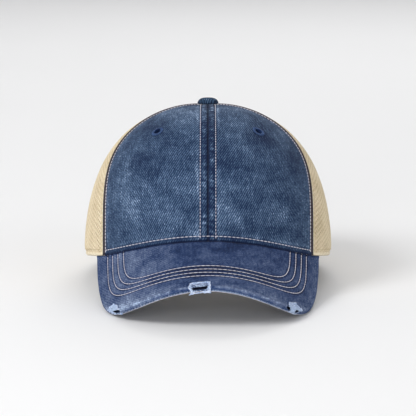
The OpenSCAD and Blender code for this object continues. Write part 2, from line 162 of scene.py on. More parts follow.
def add(tree: Tree, kind: str, *values: Any, out: int | str = 0, **settings: Any) -> Socket:
    """Adds a node with its settings, values and links.

    Args:
        tree: Node tree that gets the node.
        kind: Node type, without its prefix.
        *values: Values or output sockets for the node's first inputs.
        out: The output that is used, by name or number.
        **settings: Properties of the node, and its inputs by their names, which start with a capital
            and have _ for a space.

    Returns:
        The output of the new node.
    """
    node = tree.nodes.new("ShaderNode" + kind)
    inputs = list(enumerate(values))
    for key, value in settings.items():
        if key[0].isupper():
            inputs.append((key.replace("_", " "), value))
        else:
            setattr(node, key, value)
    for key, value in inputs:
        if isinstance(value, Socket):
            tree.links.new(value, node.inputs[key])
        else:
            node.inputs[key].default_value = value
    return node.outputs[out]


def summed(tree: Tree, base: float, terms: Iterable[tuple[Socket, float]]) -> Socket:
    """Adds several values, each with its own weight.

    Args:
        tree: Node tree that gets the nodes.
        base: Value that the sum starts from.
        terms: Sockets and their weights.

    Returns:
        The socket that holds the sum.
    """
    total: Any = base
    for socket, weight in terms:
        total = add(tree, "Math", socket, weight, total, operation="MULTIPLY_ADD")
    return total


class Side(Enum):
    """Side of the cap, as the wearer has it."""

    LEFT = 1
    RIGHT = -1

    @property
    def word(self) -> str:
        """The side's name in piece and node names."""
        return self.name.lower()


def mirrored(p: Vector, side: Side) -> Vector:
    """A place of the left half, on the given side."""
    return Vector((p.x * side.value, p.y, p.z))


# ---- Forms that the cloth follows ----


@dataclass(frozen=True)
class Stance:
    """How the cap stands: the cap's own frame, tipped and lifted onto the floor."""

    tip_sin: float
    tip_cos: float
    shift: Vector

    @classmethod
    def of(cls, record: Mapping[str, Any], rim_back_z: float = 2.5) -> "Stance":
        """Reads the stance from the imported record.

        Args:
            record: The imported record.
            rim_back_z: Height of the head opening's middle in the cap's frame.

        Returns:
            The stance.
        """
        mount = next(m for m in record["mounts"] if m["name"] == "head_opening")
        up = -Vector(mount["axis"]).normalized()
        upright = cls(up.y, up.z, Vector((0, 0, 0)))
        return cls(up.y, up.z, Vector(mount["pos_m"]) - upright.world(Vector((0, 0, rim_back_z))))

    def turn(self, v: Vector) -> Vector:
        """Turns a direction of the cap's frame into the row frame."""
        return Vector((v.x, v.y * self.tip_cos + v.z * self.tip_sin, v.z * self.tip_cos - v.y * self.tip_sin))

    def world(self, p: Vector) -> Vector:
        """Place in the row frame, in metres, of a place in the cap's frame."""
        return self.turn(p) * MM + self.shift


@dataclass(frozen=True)
class CrownForm:
    """Outside surface of the crown: az is the angle from the forehead, rise runs from 0 at the button
    to 90 degrees at the widest line, and a share is the part of the widest ring's size at a rise."""

    half_w: float = 88.0
    half_d: float = 102.3
    height: float = 109.4
    fullness: float = 2.38
    rim_front_z: float = 15.1
    rim_side_z: float = 3.4
    rim_back_z: float = 2.2
    rim_arch_power: float = 1.6
    rim_fall_deg: float = 30.0
    rim_gap: float = 0.3
    visor_half_deg: float = 61.0
    front_seam_deg: float = 53.9
    front_seam_top_deg: float = 60.0
    front_seam_bow: float = 9.6
    front_seam_bow_power: float = 2.26
    back_seam_deg: float = 120.0
    opening_half_deg: float = 32.0
    opening_top_z: float = 62.0
    hem_roll: float = 1.8
    hem_roll_h: float = 6.5
    hem_roll_degs: tuple[float, float, float, float] = (56.0, 70.0, 94.0, 112.0)
    ring_step: float = 0.5
    ring_table: list[float] = field(default_factory=list)
    climb_tables: dict[int, list[float]] = field(default_factory=dict)

    def __post_init__(self) -> None:
        """Measures the widest ring, from the forehead to the nape."""
        steps = int(180 / self.ring_step)
        self.ring_table.extend(run_of([self.ring_point(i * self.ring_step) for i in range(steps + 1)]))

    def ring_point(self, az: float) -> Vector:
        """Point of the widest ring at an angle."""
        a = math.radians(az)
        return Vector((self.half_w * math.sin(a), -self.half_d * math.cos(a), 0))

    def ring(self, az: float) -> float:
        """Length of the widest ring from the forehead to an angle.

        Args:
            az: The angle in degrees.

        Returns:
            The length in millimetres, below 0 on the right.
        """
        i = min(abs(az) / self.ring_step, len(self.ring_table) - 1.001)
        k = int(i)
        return math.copysign(between(self.ring_table[k], self.ring_table[k + 1], i - k), az)

    def ring_az(self, length: float) -> float:
        """Angle at a length along the widest ring; past the nape it goes on evenly."""
        k, f = locate(self.ring_table, abs(length))
        return math.copysign((k + f) * self.ring_step, length)

    def share(self, rise: float) -> float:
        """Share of the widest ring's size at a rise."""
        return math.sin(math.radians(rise)) ** (2 / self.fullness)

    def rise_at_share(self, share: float) -> float:
        """Rise at a share of the widest ring's size."""
        return math.degrees(math.asin(min(1.0, share) ** (self.fullness / 2)))

    def rise_at_z(self, z: float) -> float:
        """Rise at a height."""
        return math.degrees(math.acos(min(1.0, (max(z, 0.0) / self.height) ** (self.fullness / 2))))

    def z_at(self, rise: float) -> float:
        """Height at a rise."""
        return self.height * max(0.0, math.cos(math.radians(rise))) ** (2 / self.fullness)

    def descend(self, top: float, low_z: float, v: float) -> float:
        """Rise at the part v of the way from a share near the button down to a height."""
        return between(self.rise_at_share(top), self.rise_at_z(low_z), v)

    def point(self, az: float, rise: float, off: float = 0.0) -> Vector:
        """Point at a distance out of the surface.

        Args:
            az: Angle from the forehead, in degrees.
            rise: Rise, in degrees.
            off: Distance out of the surface, in millimetres.

        Returns:
            The point in the cap's frame.
        """
        s, a = self.share(rise), math.radians(az)
        c = max(0.0, math.cos(math.radians(rise))) ** (2 / self.fullness)
        p = Vector((self.half_w * s * math.sin(a), -self.half_d * s * math.cos(a), self.height * c))
        if not off:
            return p
        slope, top = s ** (self.fullness - 2), c ** (self.fullness - 1)
        out = Vector((slope * p.x / self.half_w**2, slope * p.y / self.half_d**2, top / self.height))
        return p + out.normalized() * off

    def normal(self, az: float, rise: float) -> Vector:
        """Direction out of the surface."""
        return (self.point(az, rise, 1.0) - self.point(az, rise)).normalized()

    def seat(self, az: float, rise: float, lift: float, side: Side = Side.LEFT) -> tuple[Vector, Vector]:
        """Place over the surface on one side of the cap, and the direction out of it."""
        return mirrored(self.point(az, rise, lift), side), mirrored(self.normal(az, rise), side)

    def rim_z(self, az: float) -> float:
        """Height of the rim at an angle: an arch over the visor, then nearly level to the nape.

        Args:
            az: The angle in degrees.

        Returns:
            The height in millimetres.
        """
        a = abs(az)
        if a < self.visor_half_deg:
            arch = math.cos(math.radians(90 * a / self.visor_half_deg)) ** self.rim_arch_power
            return between(self.rim_side_z, self.rim_front_z, arch)
        fall = min(1.0, (a - self.visor_half_deg) / self.rim_fall_deg)
        return between(self.rim_side_z, self.rim_back_z, fall)

    def hem_z(self, az: float) -> float:
        """Height of the cloth's lower edge at an angle."""
        return self.rim_z(az) + self.rim_gap

    def arch_z(self, q: float) -> float:
        """Height of the opening's edge, q degrees from the middle of the nape."""
        up = math.sqrt(max(0.0, 1 - (q / self.opening_half_deg) ** 2))
        return between(self.hem_z(180), self.opening_top_z, up)

    def low_z(self, az: float) -> float:
        """Height of a mesh panel's lower edge, at the hem or at the opening."""
        q = 180 - abs(az)
        return self.arch_z(q) if q < self.opening_half_deg else self.hem_z(az)

    def roll(self, az: float, rise: float) -> float:
        """How far the mesh turns in towards its hem.

        Args:
            az: Angle from the forehead, in degrees.
            rise: Rise, in degrees.

        Returns:
            The distance in millimetres.
        """
        low = 1 - ease((self.z_at(rise) - self.hem_z(az)) / self.hem_roll_h)
        start, full, fade, end = self.hem_roll_degs
        full_part = ease((az - start) / (full - start)) * (1 - ease((az - fade) / (end - fade)))
        return self.hem_roll * low * full_part

    def seam_centre(self, _s: float) -> float:
        """Angle of the centre seam at the forehead."""
        return 0.0

    def seam_front(self, s: float) -> float:
        """Angle of the front to side seam at a share."""
        bow = self.front_seam_bow * math.sin(math.pi * min(1.0, s) ** self.front_seam_bow_power)
        return between(self.front_seam_top_deg, self.front_seam_deg, s**4) + bow

    def seam_back(self, _s: float) -> float:
        """Angle of the side to back seam."""
        return self.back_seam_deg

    def seam_nape(self, _s: float) -> float:
        """Angle of the seam at the nape."""
        return 180.0

    def beside(self, seam: Seam, s: float, away: float) -> float:
        """Angle at a distance behind a seam, at a share."""
        return self.ring_az(self.ring(seam(s)) + away / s)

    def seam_path(
        self, side: Side, seam: Seam, away: float, lift: float, low_z: float, top: float = 0.1,
        steps: int = 90,
    ) -> Path:
        """Path down beside a seam.

        Args:
            side: Side of the cap.
            seam: The seam.
            away: Distance behind the seam, below 0 in front of it.
            lift: Height over the plain surface.
            low_z: Height of the path's lower end.
            top: Share at its upper end.
            steps: Number of its steps.

        Returns:
            The path.
        """
        rises = [self.descend(top, low_z, i / steps) for i in range(steps + 1)]
        return [self.seat(self.beside(seam, self.share(rise), away), rise, lift, side) for rise in rises]

    def hem_path(self, side: Side, first: float, last: float, above: float, lift: float, steps: int) -> Path:
        """Path along the hem, at a height above it.

        Args:
            side: Side of the cap.
            first: Angle at which it starts.
            last: Angle at which it ends.
            above: Height above the cloth's lower edge.
            lift: Height over the surface.
            steps: Number of its steps.

        Returns:
            The path.
        """
        path = []
        for i in range(steps + 1):
            az = between(first, last, i / steps)
            rise = self.rise_at_z(self.hem_z(az) + above)
            path.append(self.seat(az, rise, lift - self.roll(az, rise), side))
        return path

    def climb(self, az: float, rise: float) -> float:
        """Length of the surface from the button down to a rise.

        Args:
            az: Angle from the forehead, in degrees.
            rise: The rise, in degrees.

        Returns:
            The length in millimetres.
        """
        key = round(abs(az) / 2)
        if key not in self.climb_tables:
            self.climb_tables[key] = run_of([self.point(2.0 * key, 0.001 + i) for i in range(91)])
        table, k = self.climb_tables[key], min(int(rise), 89)
        return between(table[k], table[k + 1], rise - k)


@dataclass(frozen=True)
class VisorForm:
    """Visor surface: straight rulings that leave the rim, steeper towards the corners.

    r runs from -1 at one corner to 1 at the other, and l is the distance from the rim. Rays fan out
    from between the corners: t is the ray's angle, and k is 1 at the visor's outline.
    """

    crown: CrownForm
    reach: float = 108.7
    square: float = 2.71
    pitch: float = 24.8
    droop: float = 14.0
    turn_in: float = 3.6
    start: float = 0.3
    half_w: float = 86.0
    cover_t: float = 0.7
    board_t: float = 1.6
    gap: float = 0.15
    starts: dict[float, float] = field(default_factory=dict)

    @property
    def thick(self) -> float:
        """Thickness of the whole visor."""
        return 2 * (self.cover_t + self.gap) + self.board_t

    def root(self, r: float) -> Vector:
        """Point of the rim that a ruling leaves."""
        az = r * self.crown.visor_half_deg
        return self.crown.point(az, self.crown.rise_at_z(self.crown.rim_z(az)))

    def ruling(self, r: float) -> Vector:
        """Direction of a ruling."""
        pitch, turn = math.radians(self.pitch + self.droop * r * r), math.radians(-self.turn_in * r)
        return Vector((math.sin(turn) * math.cos(pitch), -math.cos(turn) * math.cos(pitch), -math.sin(pitch)))

    def normal(self, r: float, l: float) -> Vector:
        """Direction out of the top surface."""
        step = 0.01
        left, right = (self.root(q) + l * self.ruling(q) for q in (r + step, r - step))
        return self.ruling(r).cross(left - right).normalized()

    def point(self, r: float, l: float, off: float = 0.0) -> Vector:
        """Point at a distance out of the top surface."""
        return self.root(r) + l * self.ruling(r) + off * self.normal(r, l)

    def root_reach(self, r: float) -> float:
        """Reach of a point of the rim along the middle slope, from the corners."""
        pitch = math.radians(self.pitch)
        slope = Vector((0, -math.cos(pitch), -math.sin(pitch)))
        return self.root(r).dot(slope) - self.root(1.0).dot(slope)

    def ray(self, t: float, k: float) -> tuple[float, float]:
        """Ruling and distance of a point of a ray.

        Args:
            t: The ray's angle in degrees, from -90 to 90.
            k: Share of the way to the outline.

        Returns:
            r and l.
        """
        a = math.radians(abs(t))
        r = k * math.copysign(math.sin(a) ** (2 / self.square), t)
        return r, k * self.reach * math.cos(a) ** (2 / self.square) - self.root_reach(r)

    def ray_start(self, t: float) -> float:
        """Share at which a ray leaves the rim, kept once it is worked out.

        Args:
            t: The ray's angle in degrees.

        Returns:
            The share.
        """
        key = round(abs(t), 4)
        if key not in self.starts:
            self.starts[key] = halved(0.0, 1.0, lambda k: self.ray(key, k)[1] <= self.start)
        return self.starts[key]

    def last_ray(self, k: float) -> float:
        """Angle of the last ray that starts before a share."""
        return halved(45.0, 89.9, lambda t: self.ray_start(t) < k)

    def arm(self, t: float) -> float:
        """Length of a ray from the middle to the outline, in millimetres."""
        a = math.radians(abs(t))
        across, out = math.sin(a) ** (2 / self.square), math.cos(a) ** (2 / self.square)
        return math.hypot(self.half_w * across, self.reach * out)


# ---- Making cloth and stitches ----


@dataclass(frozen=True)
class Spot:
    """One point of a cloth piece: its place and its place on the flat cut, both in millimetres, its wear
    value, which lightens where the pigment is rubbed off and for painted highlight and darkens for painted
    shade, its dye value, which darkens for pigment left in a groove and for painted shade, and how far it
    lies inside a hole."""

    at: Vector
    flat: tuple[float, float]
    wear: float = 0.0
    dye: float = 0.0
    hole: float = -1.0


Place = Callable[[float, float], Spot]


class Loom:
    """Collects pieces of cloth in one mesh."""

    def __init__(self, stance: Stance) -> None:
        """Starts an empty mesh with its cloth map and wear values.

        Args:
            stance: How the cap stands.
        """
        self.stance = stance
        self.bm = bmesh.new()
        self.map = self.bm.loops.layers.uv.new("cloth")
        self.wear = self.bm.verts.layers.float.new("wear")
        self.dye = self.bm.verts.layers.float.new("dye")

    def lay(self, spots: Mapping[bmesh.types.BMVert, Spot]) -> None:
        """Moves the points of a flat cloth to their places on the cap.

        Args:
            spots: Each point's spot.
        """
        for v, spot in spots.items():
            v.co = self.stance.world(spot.at)
            v[self.wear], v[self.dye] = spot.wear, spot.dye
        for f in {f for v in spots for f in v.link_faces}:
            for loop in f.loops:
                flat = spots[loop.vert].flat
                loop[self.map].uv = (flat[0] / UV_UNIT, flat[1] / UV_UNIT)

    def face_out(self, faces: Sequence[bmesh.types.BMFace], inside: Vector = INSIDE) -> None:
        """Turns faces so that they look away from a place.

        Args:
            faces: The faces.
            inside: The place in the cap's frame.
        """
        centre = self.stance.world(inside)
        self.bm.normal_update()
        if sum(f.normal.dot((f.calc_center_median() - centre).normalized()) for f in faces) < 0:
            bmesh.ops.reverse_faces(self.bm, faces=faces)

    def trim(self, depth: dict[bmesh.types.BMVert, float]) -> None:
        """Cuts holes out along their outlines.

        Args:
            depth: How far each point lies inside a hole, below 0 outside.
        """
        cut = []
        for edge in self.bm.edges[:]:
            a, b = edge.verts
            if a in depth and b in depth and depth[a] * depth[b] < 0:
                cut.append(bmesh.utils.edge_split(edge, a, depth[a] / (depth[a] - depth[b]))[1])
        depth.update((v, 0.0) for v in cut)
        bmesh.ops.connect_verts(self.bm, verts=cut)
        gone = [f for f in self.bm.faces if sum(depth.get(v, -1.0) for v in f.verts) > 0]
        bmesh.ops.delete(self.bm, geom=gone, context="FACES")

    def weave(
        self, cols: int, rows: int, place: Place, inside: Vector = INSIDE,
        cut: Callable[[Spot], float] | None = None,
    ) -> None:
        """Adds a rectangle of cloth.

        Args:
            cols: Cells across.
            rows: Cells up.
            place: Gives the spot for each share across and up.
            inside: Place in the cap's frame that the cloth looks away from.
            cut: Tells how far a point lies inside a hole.
        """
        made = bmesh.ops.create_grid(self.bm, x_segments=cols, y_segments=rows, size=0.5)["verts"]
        spots = {v: place(v.co.x + 0.5, v.co.y + 0.5) for v in made}
        self.lay(spots)
        self.face_out(list({f for v in made for f in v.link_faces}), inside)
        if cut:
            self.trim({v: cut(spot) for v, spot in spots.items()})

    def finish(self, name: str, thickness: float, offset: float = -1.0) -> Piece:
        """Makes the object, with the thickness of its cloth."""
        return made_object(self.bm, name, thickness, offset)


def made_object(bm: bmesh.types.BMesh, name: str, thickness: float = 0.0, offset: float = -1.0) -> Piece:
    """Makes a smooth object at the origin from a mesh in the row frame.

    Args:
        bm: The mesh, which is freed.
        name: The object's name.
        thickness: Thickness that it is given, in millimetres.
        offset: Side on which the thickness lies, -1 for inside.

    Returns:
        The object.
    """
    mesh = bpy.data.meshes.new(name)
    bm.to_mesh(mesh)
    bm.free()
    mesh.shade_smooth()
    piece = bpy.data.objects.new(name, mesh)
    bpy.context.scene.collection.objects.link(piece)
    if thickness:
        solid = piece.modifiers.new("thickness", "SOLIDIFY")
        solid.thickness, solid.offset = thickness * MM, offset
    return piece


def turned(profile: Sequence[tuple[float, float]], steps: int, weld: float) -> bmesh.types.BMesh:
    """Spins an outline once round the upright axis.

    Args:
        profile: Radius and height of each point of the outline.
        steps: Number of steps of the turn.
        weld: Distance under which points become one.

    Returns:
        The mesh.
    """
    bm = bmesh.new()
    line = [bm.verts.new((r, 0, z)) for r, z in profile]
    geom = line + [bm.edges.new(pair) for pair in zip(line, line[1:])]
    bmesh.ops.spin(bm, geom=geom, cent=(0, 0, 0), axis=(0, 0, 1), angle=math.tau, steps=steps, use_merge=True)
    bmesh.ops.remove_doubles(bm, verts=bm.verts[:], dist=weld)
    return bm


@dataclass(frozen=True)
class Stitch:
    """Size of one stitch, in millimetres: a short round strand that lies on the cloth."""

    length: float
    gap: float
    width: float
    height: float = 0.5
    lift: float = 0.12


class Needle:
    """Collects stitches in one mesh."""

    batch: int = 900  # points after which strands go to a new mesh, which keeps each step quick

    def __init__(self, stance: Stance) -> None:
        """Starts an empty mesh."""
        self.stance = stance
        self.bm = bmesh.new()
        self.done: list[bpy.types.Mesh] = []

    def put_by(self) -> None:
        """Puts the strands so far in a mesh of their own."""
        mesh = bpy.data.meshes.new("strands")
        self.bm.to_mesh(mesh)
        self.bm.clear()
        self.done.append(mesh)

    def strand(
        self, at: Vector, along: Vector, up: Vector, size: Vector, faces: tuple[int, int] = (6, 5)
    ) -> None:
        """Adds one rounded strand.

        Args:
            at: Its middle in the cap's frame.
            along: Its direction.
            up: Direction out of the cloth.
            size: Its length, width and height in millimetres.
            faces: Its segments round and along.
        """
        z = self.stance.turn(along).normalized()
        x = z.cross(self.stance.turn(up)).normalized()
        y = z.cross(x)
        turn = Matrix((x * size.y, y * size.z, z * size.x)).transposed() * MM
        matrix, (u, v) = Matrix.Translation(self.stance.world(at)) @ turn.to_4x4(), faces
        bmesh.ops.create_uvsphere(self.bm, u_segments=u, v_segments=v, radius=0.5, matrix=matrix)
        if len(self.bm.verts) > self.batch:
            self.put_by()

    def sew(self, path: Path, stitch: Stitch) -> None:
        """Sews a row of stitches along a path.

        Args:
            path: Places and directions out of the cloth, close together.
            stitch: Size of the stitches.
        """
        lengths = run_of([at for at, _ in path])
        count = max(1, int(lengths[-1] / (stitch.length + stitch.gap)))
        size = Vector((stitch.length, stitch.width, stitch.height))
        for i in range(count):
            middle = (i + 0.5) * lengths[-1] / count
            (a, _), (b, _), (at, up) = (self.on(path, lengths, middle + d) for d in (-1.0, 1.0, 0.0))
            self.strand(at + up * stitch.lift, b - a, up, size)

    @staticmethod
    def on(path: Path, lengths: Sequence[float], at: float) -> tuple[Vector, Vector]:
        """Place and direction at a length along a path."""
        k, f = locate(lengths, at)
        return path[k][0].lerp(path[k + 1][0], f), path[k][1].lerp(path[k + 1][1], f).normalized()

    def finish(self, name: str) -> Piece:
        """Makes the object.

        Args:
            name: The object's name.

        Returns:
            The object.
        """
        self.put_by()
        for mesh in self.done:
            self.bm.from_mesh(mesh)
            bpy.data.meshes.remove(mesh)
        return made_object(self.bm, name)


def dressed(piece: Piece, slot: str, material: Material, *nodes: str) -> Piece:
    """Gives a piece of the cap's body its finish and the solids that it stands for.

    Args:
        piece: The piece.
        slot: Slot of its finish in the record; not used.
        material: Its material.
        *nodes: Nodes that it replaces.

    Returns:
        The piece.
    """
    piece.data.materials.clear()
    piece.data.materials.append(material)
    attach(piece, "cap")
    if nodes:
        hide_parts(*nodes)
    log.info("%s: %d faces, %s", piece.name, len(piece.data.polygons), material.name)
    return piece


# ---- Finishes ----


def new_material(name: str, **shader: Any) -> tuple[Material, Tree, bpy.types.Node]:
    """Starts a material on a principled shader.

    Args:
        name: Its name.
        **shader: Values of the shader's own sockets, with _ for a space.

    Returns:
        The material, its node tree and the shader.
    """
    material = bpy.data.materials.new(name)
    material.use_nodes = True
    tree = material.node_tree
    node = tree.nodes["Principled BSDF"]
    for key, value in shader.items():
        node.inputs[key.replace("_", " ")].default_value = value
    return material, tree, node


def join(
    tree: Tree,
    shader: bpy.types.Node,
    tone: Socket,
    stops: Sequence[tuple[float, str]],
    relief: Socket,
    strength: float,
    depth_mm: float,
) -> None:
    """Joins a cloth's tone and relief to its shader.

    Args:
        tree: The material's node tree.
        shader: Its shader.
        tone: Value that the colour follows.
        stops: Positions and sRGB hex colours along the tone.
        relief: Value that the surface follows.
        strength: Strength of the relief.
        depth_mm: Depth of the relief.
    """
    colour = add(tree, "ValToRGB", Fac=tone)
    elements = colour.node.color_ramp.elements
    while len(elements) < len(stops):
        elements.new(0.5)
    for element, (at, code) in zip(elements, stops):
        element.position = at
        element.color = linear(code)
    bump = add(tree, "Bump", Height=relief, Strength=strength, Distance=depth_mm * MM)
    tree.links.new(colour, shader.inputs["Base Color"])
    tree.links.new(bump, shader.inputs["Normal"])


@dataclass(frozen=True)
class TwillFinish:
    """Pigment-dyed cotton twill, garment washed: the pigment lies on the yarn, so ridges and folds rub to a
    pale blue while grooves stay dark, and the diagonal wales show as fine light and dark lines. Its wear and
    dye values also carry painted shade."""

    name: str
    dark: str = "#131f3d"
    mid: str = "#2d425d"
    light: str = "#596e8a"
    bare: str = "#a2b4cf"
    base: float = 0.43
    wale_mm: float = 1.4  # real wales are 0.9 mm, drawn coarser so that they show
    slant_deg: float = 30.0
    wale_weight: float = 0.45
    yarn_mm: float = 1.0526  # real yarns are 0.4 mm, drawn coarser so that they show
    yarn_weight: float = 1.35
    slub_mm: tuple[float, float] = (1.3333, 9.0909)  # width and length of a thick place in a yarn
    slub_weight: float = 0.7
    cloud_mm: float = 20.0
    cloud_weight: float = 0.9
    rub_mm: tuple[float, float] = (9.0909, 3.0303)  # width and height of a rubbed streak
    rub_weight: float = 0.55
    wear_and_light_weight: float = 0.5
    dye_and_shade_weight: float = -0.45
    bump_mm: float = 0.12

    def make(self) -> Material:
        """Builds the material."""
        material, tree, shader = new_material(
            self.name, Roughness=0.95, Specular_IOR_Level=0.1, Sheen_Weight=0.03, Sheen_Roughness=0.55
        )
        flat = add(tree, "UVMap", uv_map="cloth")
        slant = (0, 0, math.radians(self.slant_deg))
        slanted = add(tree, "Mapping", Vector=flat, Rotation=slant, Scale=(UV_UNIT,) * 3)
        wales = add(
            tree, "TexWave",
            Vector=slanted, Scale=WAVE_UNIT / self.wale_mm, Distortion=1.1,
            Detail=2.0, Detail_Scale=0.7, Detail_Roughness=0.6,
            out="Fac", wave_type="BANDS", bands_direction="X",
        )
        yarn = add(tree, "TexNoise", Vector=slanted, Scale=1 / self.yarn_mm, Detail=3.0, Roughness=0.7)
        slubs = (UV_UNIT / self.slub_mm[0], UV_UNIT / self.slub_mm[1], UV_UNIT)
        warp = add(tree, "Mapping", Vector=flat, Rotation=(0, 0, 0.12), Scale=slubs)
        slub = add(tree, "TexNoise", Vector=warp, Scale=1.0, Detail=3.0, Roughness=0.6)
        place = add(tree, "TexCoord", out="Object")
        cloud = add(
            tree, "TexNoise",
            Vector=place, Scale=per_metre(self.cloud_mm), Detail=6.0, Roughness=0.62, Distortion=0.4,
        )
        wide, high = (per_metre(size) for size in self.rub_mm)
        rubbed = add(tree, "Mapping", Vector=place, Rotation=(0, 0.35, 0), Scale=(wide, wide, high))
        rubs = add(tree, "TexNoise", Vector=rubbed, Scale=1.0, Detail=4.0, Roughness=0.7)
        patterns = [
            (cloud, self.cloud_weight), (wales, self.wale_weight),
            (yarn, self.yarn_weight), (rubs, self.rub_weight),
            (slub, self.slub_weight),
        ]
        # The wear value lightens where pigment is rubbed off and darkens as painted shade; the dye value
        # darkens for pigment left in grooves and as painted shade.
        wear = add(tree, "Attribute", out="Fac", attribute_name="wear")
        dye = add(tree, "Attribute", out="Fac", attribute_name="dye")
        middle = sum(weight for _, weight in patterns) / 2
        tone = summed(tree, self.base - middle, patterns + [(wear, self.wear_and_light_weight), (dye, self.dye_and_shade_weight)])
        stops = [(0.1, self.dark), (0.42, self.mid), (0.76, self.light), (1.0, self.bare)]
        relief = summed(tree, 0.0, [(wales, 0.5), (yarn, 0.8)])
        join(tree, shader, tone, stops, relief, 0.8, self.bump_mm)
        return material


@dataclass(frozen=True)
class KnitFinish:
    """Polyester knit: soft matt yarn with fine loops, with a painted highlight where it stands out and
    painted shade in its grooves.
    """

    name: str
    low: str = "#a08c66"
    mid: str = "#d6c4a1"
    high: str = "#f0e4cb"
    loop_mm: float = 0.7  # real loops are 0.4 mm, drawn coarser so that they show
    course_mm: float = 3.0
    cloud_mm: float = 16.667
    slant_deg: float = 70.0
    bump_mm: float = 0.12

    def make(self) -> Material:
        """Builds the material."""
        material, tree, shader = new_material(
            self.name, Roughness=0.85, Specular_IOR_Level=0.25, Sheen_Weight=0.15, Sheen_Roughness=0.5
        )
        flat = add(tree, "UVMap", uv_map="cloth")
        size = add(tree, "Mapping", Vector=flat, Scale=(UV_UNIT,) * 3)
        loops = add(
            tree, "TexWave",
            Vector=size, Scale=WAVE_UNIT / self.loop_mm, Distortion=2.0, Detail=1.0,
            out="Fac", wave_type="BANDS", bands_direction="DIAGONAL",
        )
        slant = (0, 0, math.radians(self.slant_deg))
        slanted = add(tree, "Mapping", Vector=size, Rotation=slant)
        courses = add(
            tree, "TexWave",
            Vector=slanted, Scale=WAVE_UNIT / self.course_mm, Distortion=3.4,
            Detail=3.0, Detail_Scale=0.5,
            out="Fac", wave_type="BANDS", bands_direction="X",
        )
        place = add(tree, "TexCoord", out="Object")
        cloud = add(tree, "TexNoise", Vector=place, Scale=per_metre(self.cloud_mm), Detail=4.0)
        # Painted shade from the dye value and a painted highlight from the wear value, on the folds and hems.
        dye = add(tree, "Attribute", out="Fac", attribute_name="dye")
        wear = add(tree, "Attribute", out="Fac", attribute_name="wear")
        tone = summed(tree, -0.08, [(cloud, 0.7), (loops, 0.2), (courses, 0.26), (dye, -0.5), (wear, 0.4)])
        stops = [(0.0, self.low), (0.5, self.mid), (1.0, self.high)]
        join(tree, shader, tone, stops, loops, 0.5, self.bump_mm)
        return material


@dataclass(frozen=True)
class ThreadFinish:
    """Spun polyester sewing thread: twisted plies with a low sheen."""

    name: str
    low: str
    high: str
    gloss: float = 0.35
    ply_mm: float = 0.45  # length of one twist of the plies
    soil_mm: float = 5.5556
    bump_mm: float = 0.08

    def make(self) -> Material:
        """Builds the material."""
        material, tree, shader = new_material(
            self.name, Roughness=0.6, Specular_IOR_Level=self.gloss, Sheen_Weight=self.gloss / 4
        )
        place = add(tree, "TexCoord", out="Object")
        plies = add(
            tree, "TexWave",
            Vector=place, Scale=WAVE_UNIT * per_metre(self.ply_mm), Distortion=1.5,
            out="Fac", wave_type="BANDS", bands_direction="DIAGONAL",
        )
        soil = add(tree, "TexNoise", Vector=place, Scale=per_metre(self.soil_mm), Detail=2.0)
        tone = summed(tree, 0.0, [(plies, 0.35), (soil, 0.65)])
        stops = [(0.2, self.low), (0.75, self.high)]
        join(tree, shader, tone, stops, plies, 0.4, self.bump_mm)
        return material


@dataclass(frozen=True)
class WovenFinish:
    """Plain or herringbone woven cotton: crossing yarns that show as a small check of light and dark."""

    name: str
    low: str
    high: str
    yarn_mm: float = 0.9  # real yarns lie 0.5 mm apart, drawn coarser so that they show
    soil_mm: float = 14.286
    open_weave: float = 0.0
    bump_mm: float = 0.15

    def make(self) -> Material:
        """Builds the material."""
        material, tree, shader = new_material(
            self.name, Roughness=0.9, Specular_IOR_Level=0.2, Sheen_Weight=0.1
        )
        flat = add(tree, "UVMap", uv_map="cloth")
        size = add(tree, "Mapping", Vector=flat, Scale=(UV_UNIT,) * 3)
        warp, weft = (
            add(
                tree, "TexWave", Vector=size, Scale=WAVE_UNIT / self.yarn_mm, Distortion=0.5,
                out="Fac", wave_type="BANDS", bands_direction=way,
            )
            for way in ("X", "Y")
        )
        crossing = add(tree, "Math", warp, weft, operation="MAXIMUM")
        place = add(tree, "TexCoord", out="Object")
        soil = add(tree, "TexNoise", Vector=place, Scale=per_metre(self.soil_mm), Detail=4.0)
        # The dye value paints shade along the tapes' ribs and the binding's row of stitches.
        dye = add(tree, "Attribute", out="Fac", attribute_name="dye")
        terms = [(crossing, 0.4 + self.open_weave), (soil, 0.5), (dye, -0.5)]
        tone = summed(tree, 0.1 - self.open_weave, terms)
        join(tree, shader, tone, [(0.15, self.low), (0.75, self.high)], crossing, 0.6, self.bump_mm)
        return material


@dataclass(frozen=True)
class FrayFinish:
    """Bare cotton yarn where the pigment and the face of the twill are gone: pale blue-white fuzz."""

    name: str
    low: str = "#7f9ccb"
    high: str = "#dbe6fa"
    fuzz_mm: float = 2.381
    bump_mm: float = 0.3

    def make(self) -> Material:
        """Builds the material."""
        material, tree, shader = new_material(
            self.name, Roughness=0.95, Specular_IOR_Level=0.15, Sheen_Weight=0.3
        )
        place = add(tree, "TexCoord", out="Object")
        fuzz = add(tree, "TexNoise", Vector=place, Scale=per_metre(self.fuzz_mm), Detail=4.0, Roughness=0.7)
        join(tree, shader, fuzz, [(0.35, self.low), (0.6, self.high)], fuzz, 0.9, self.bump_mm)
        return material


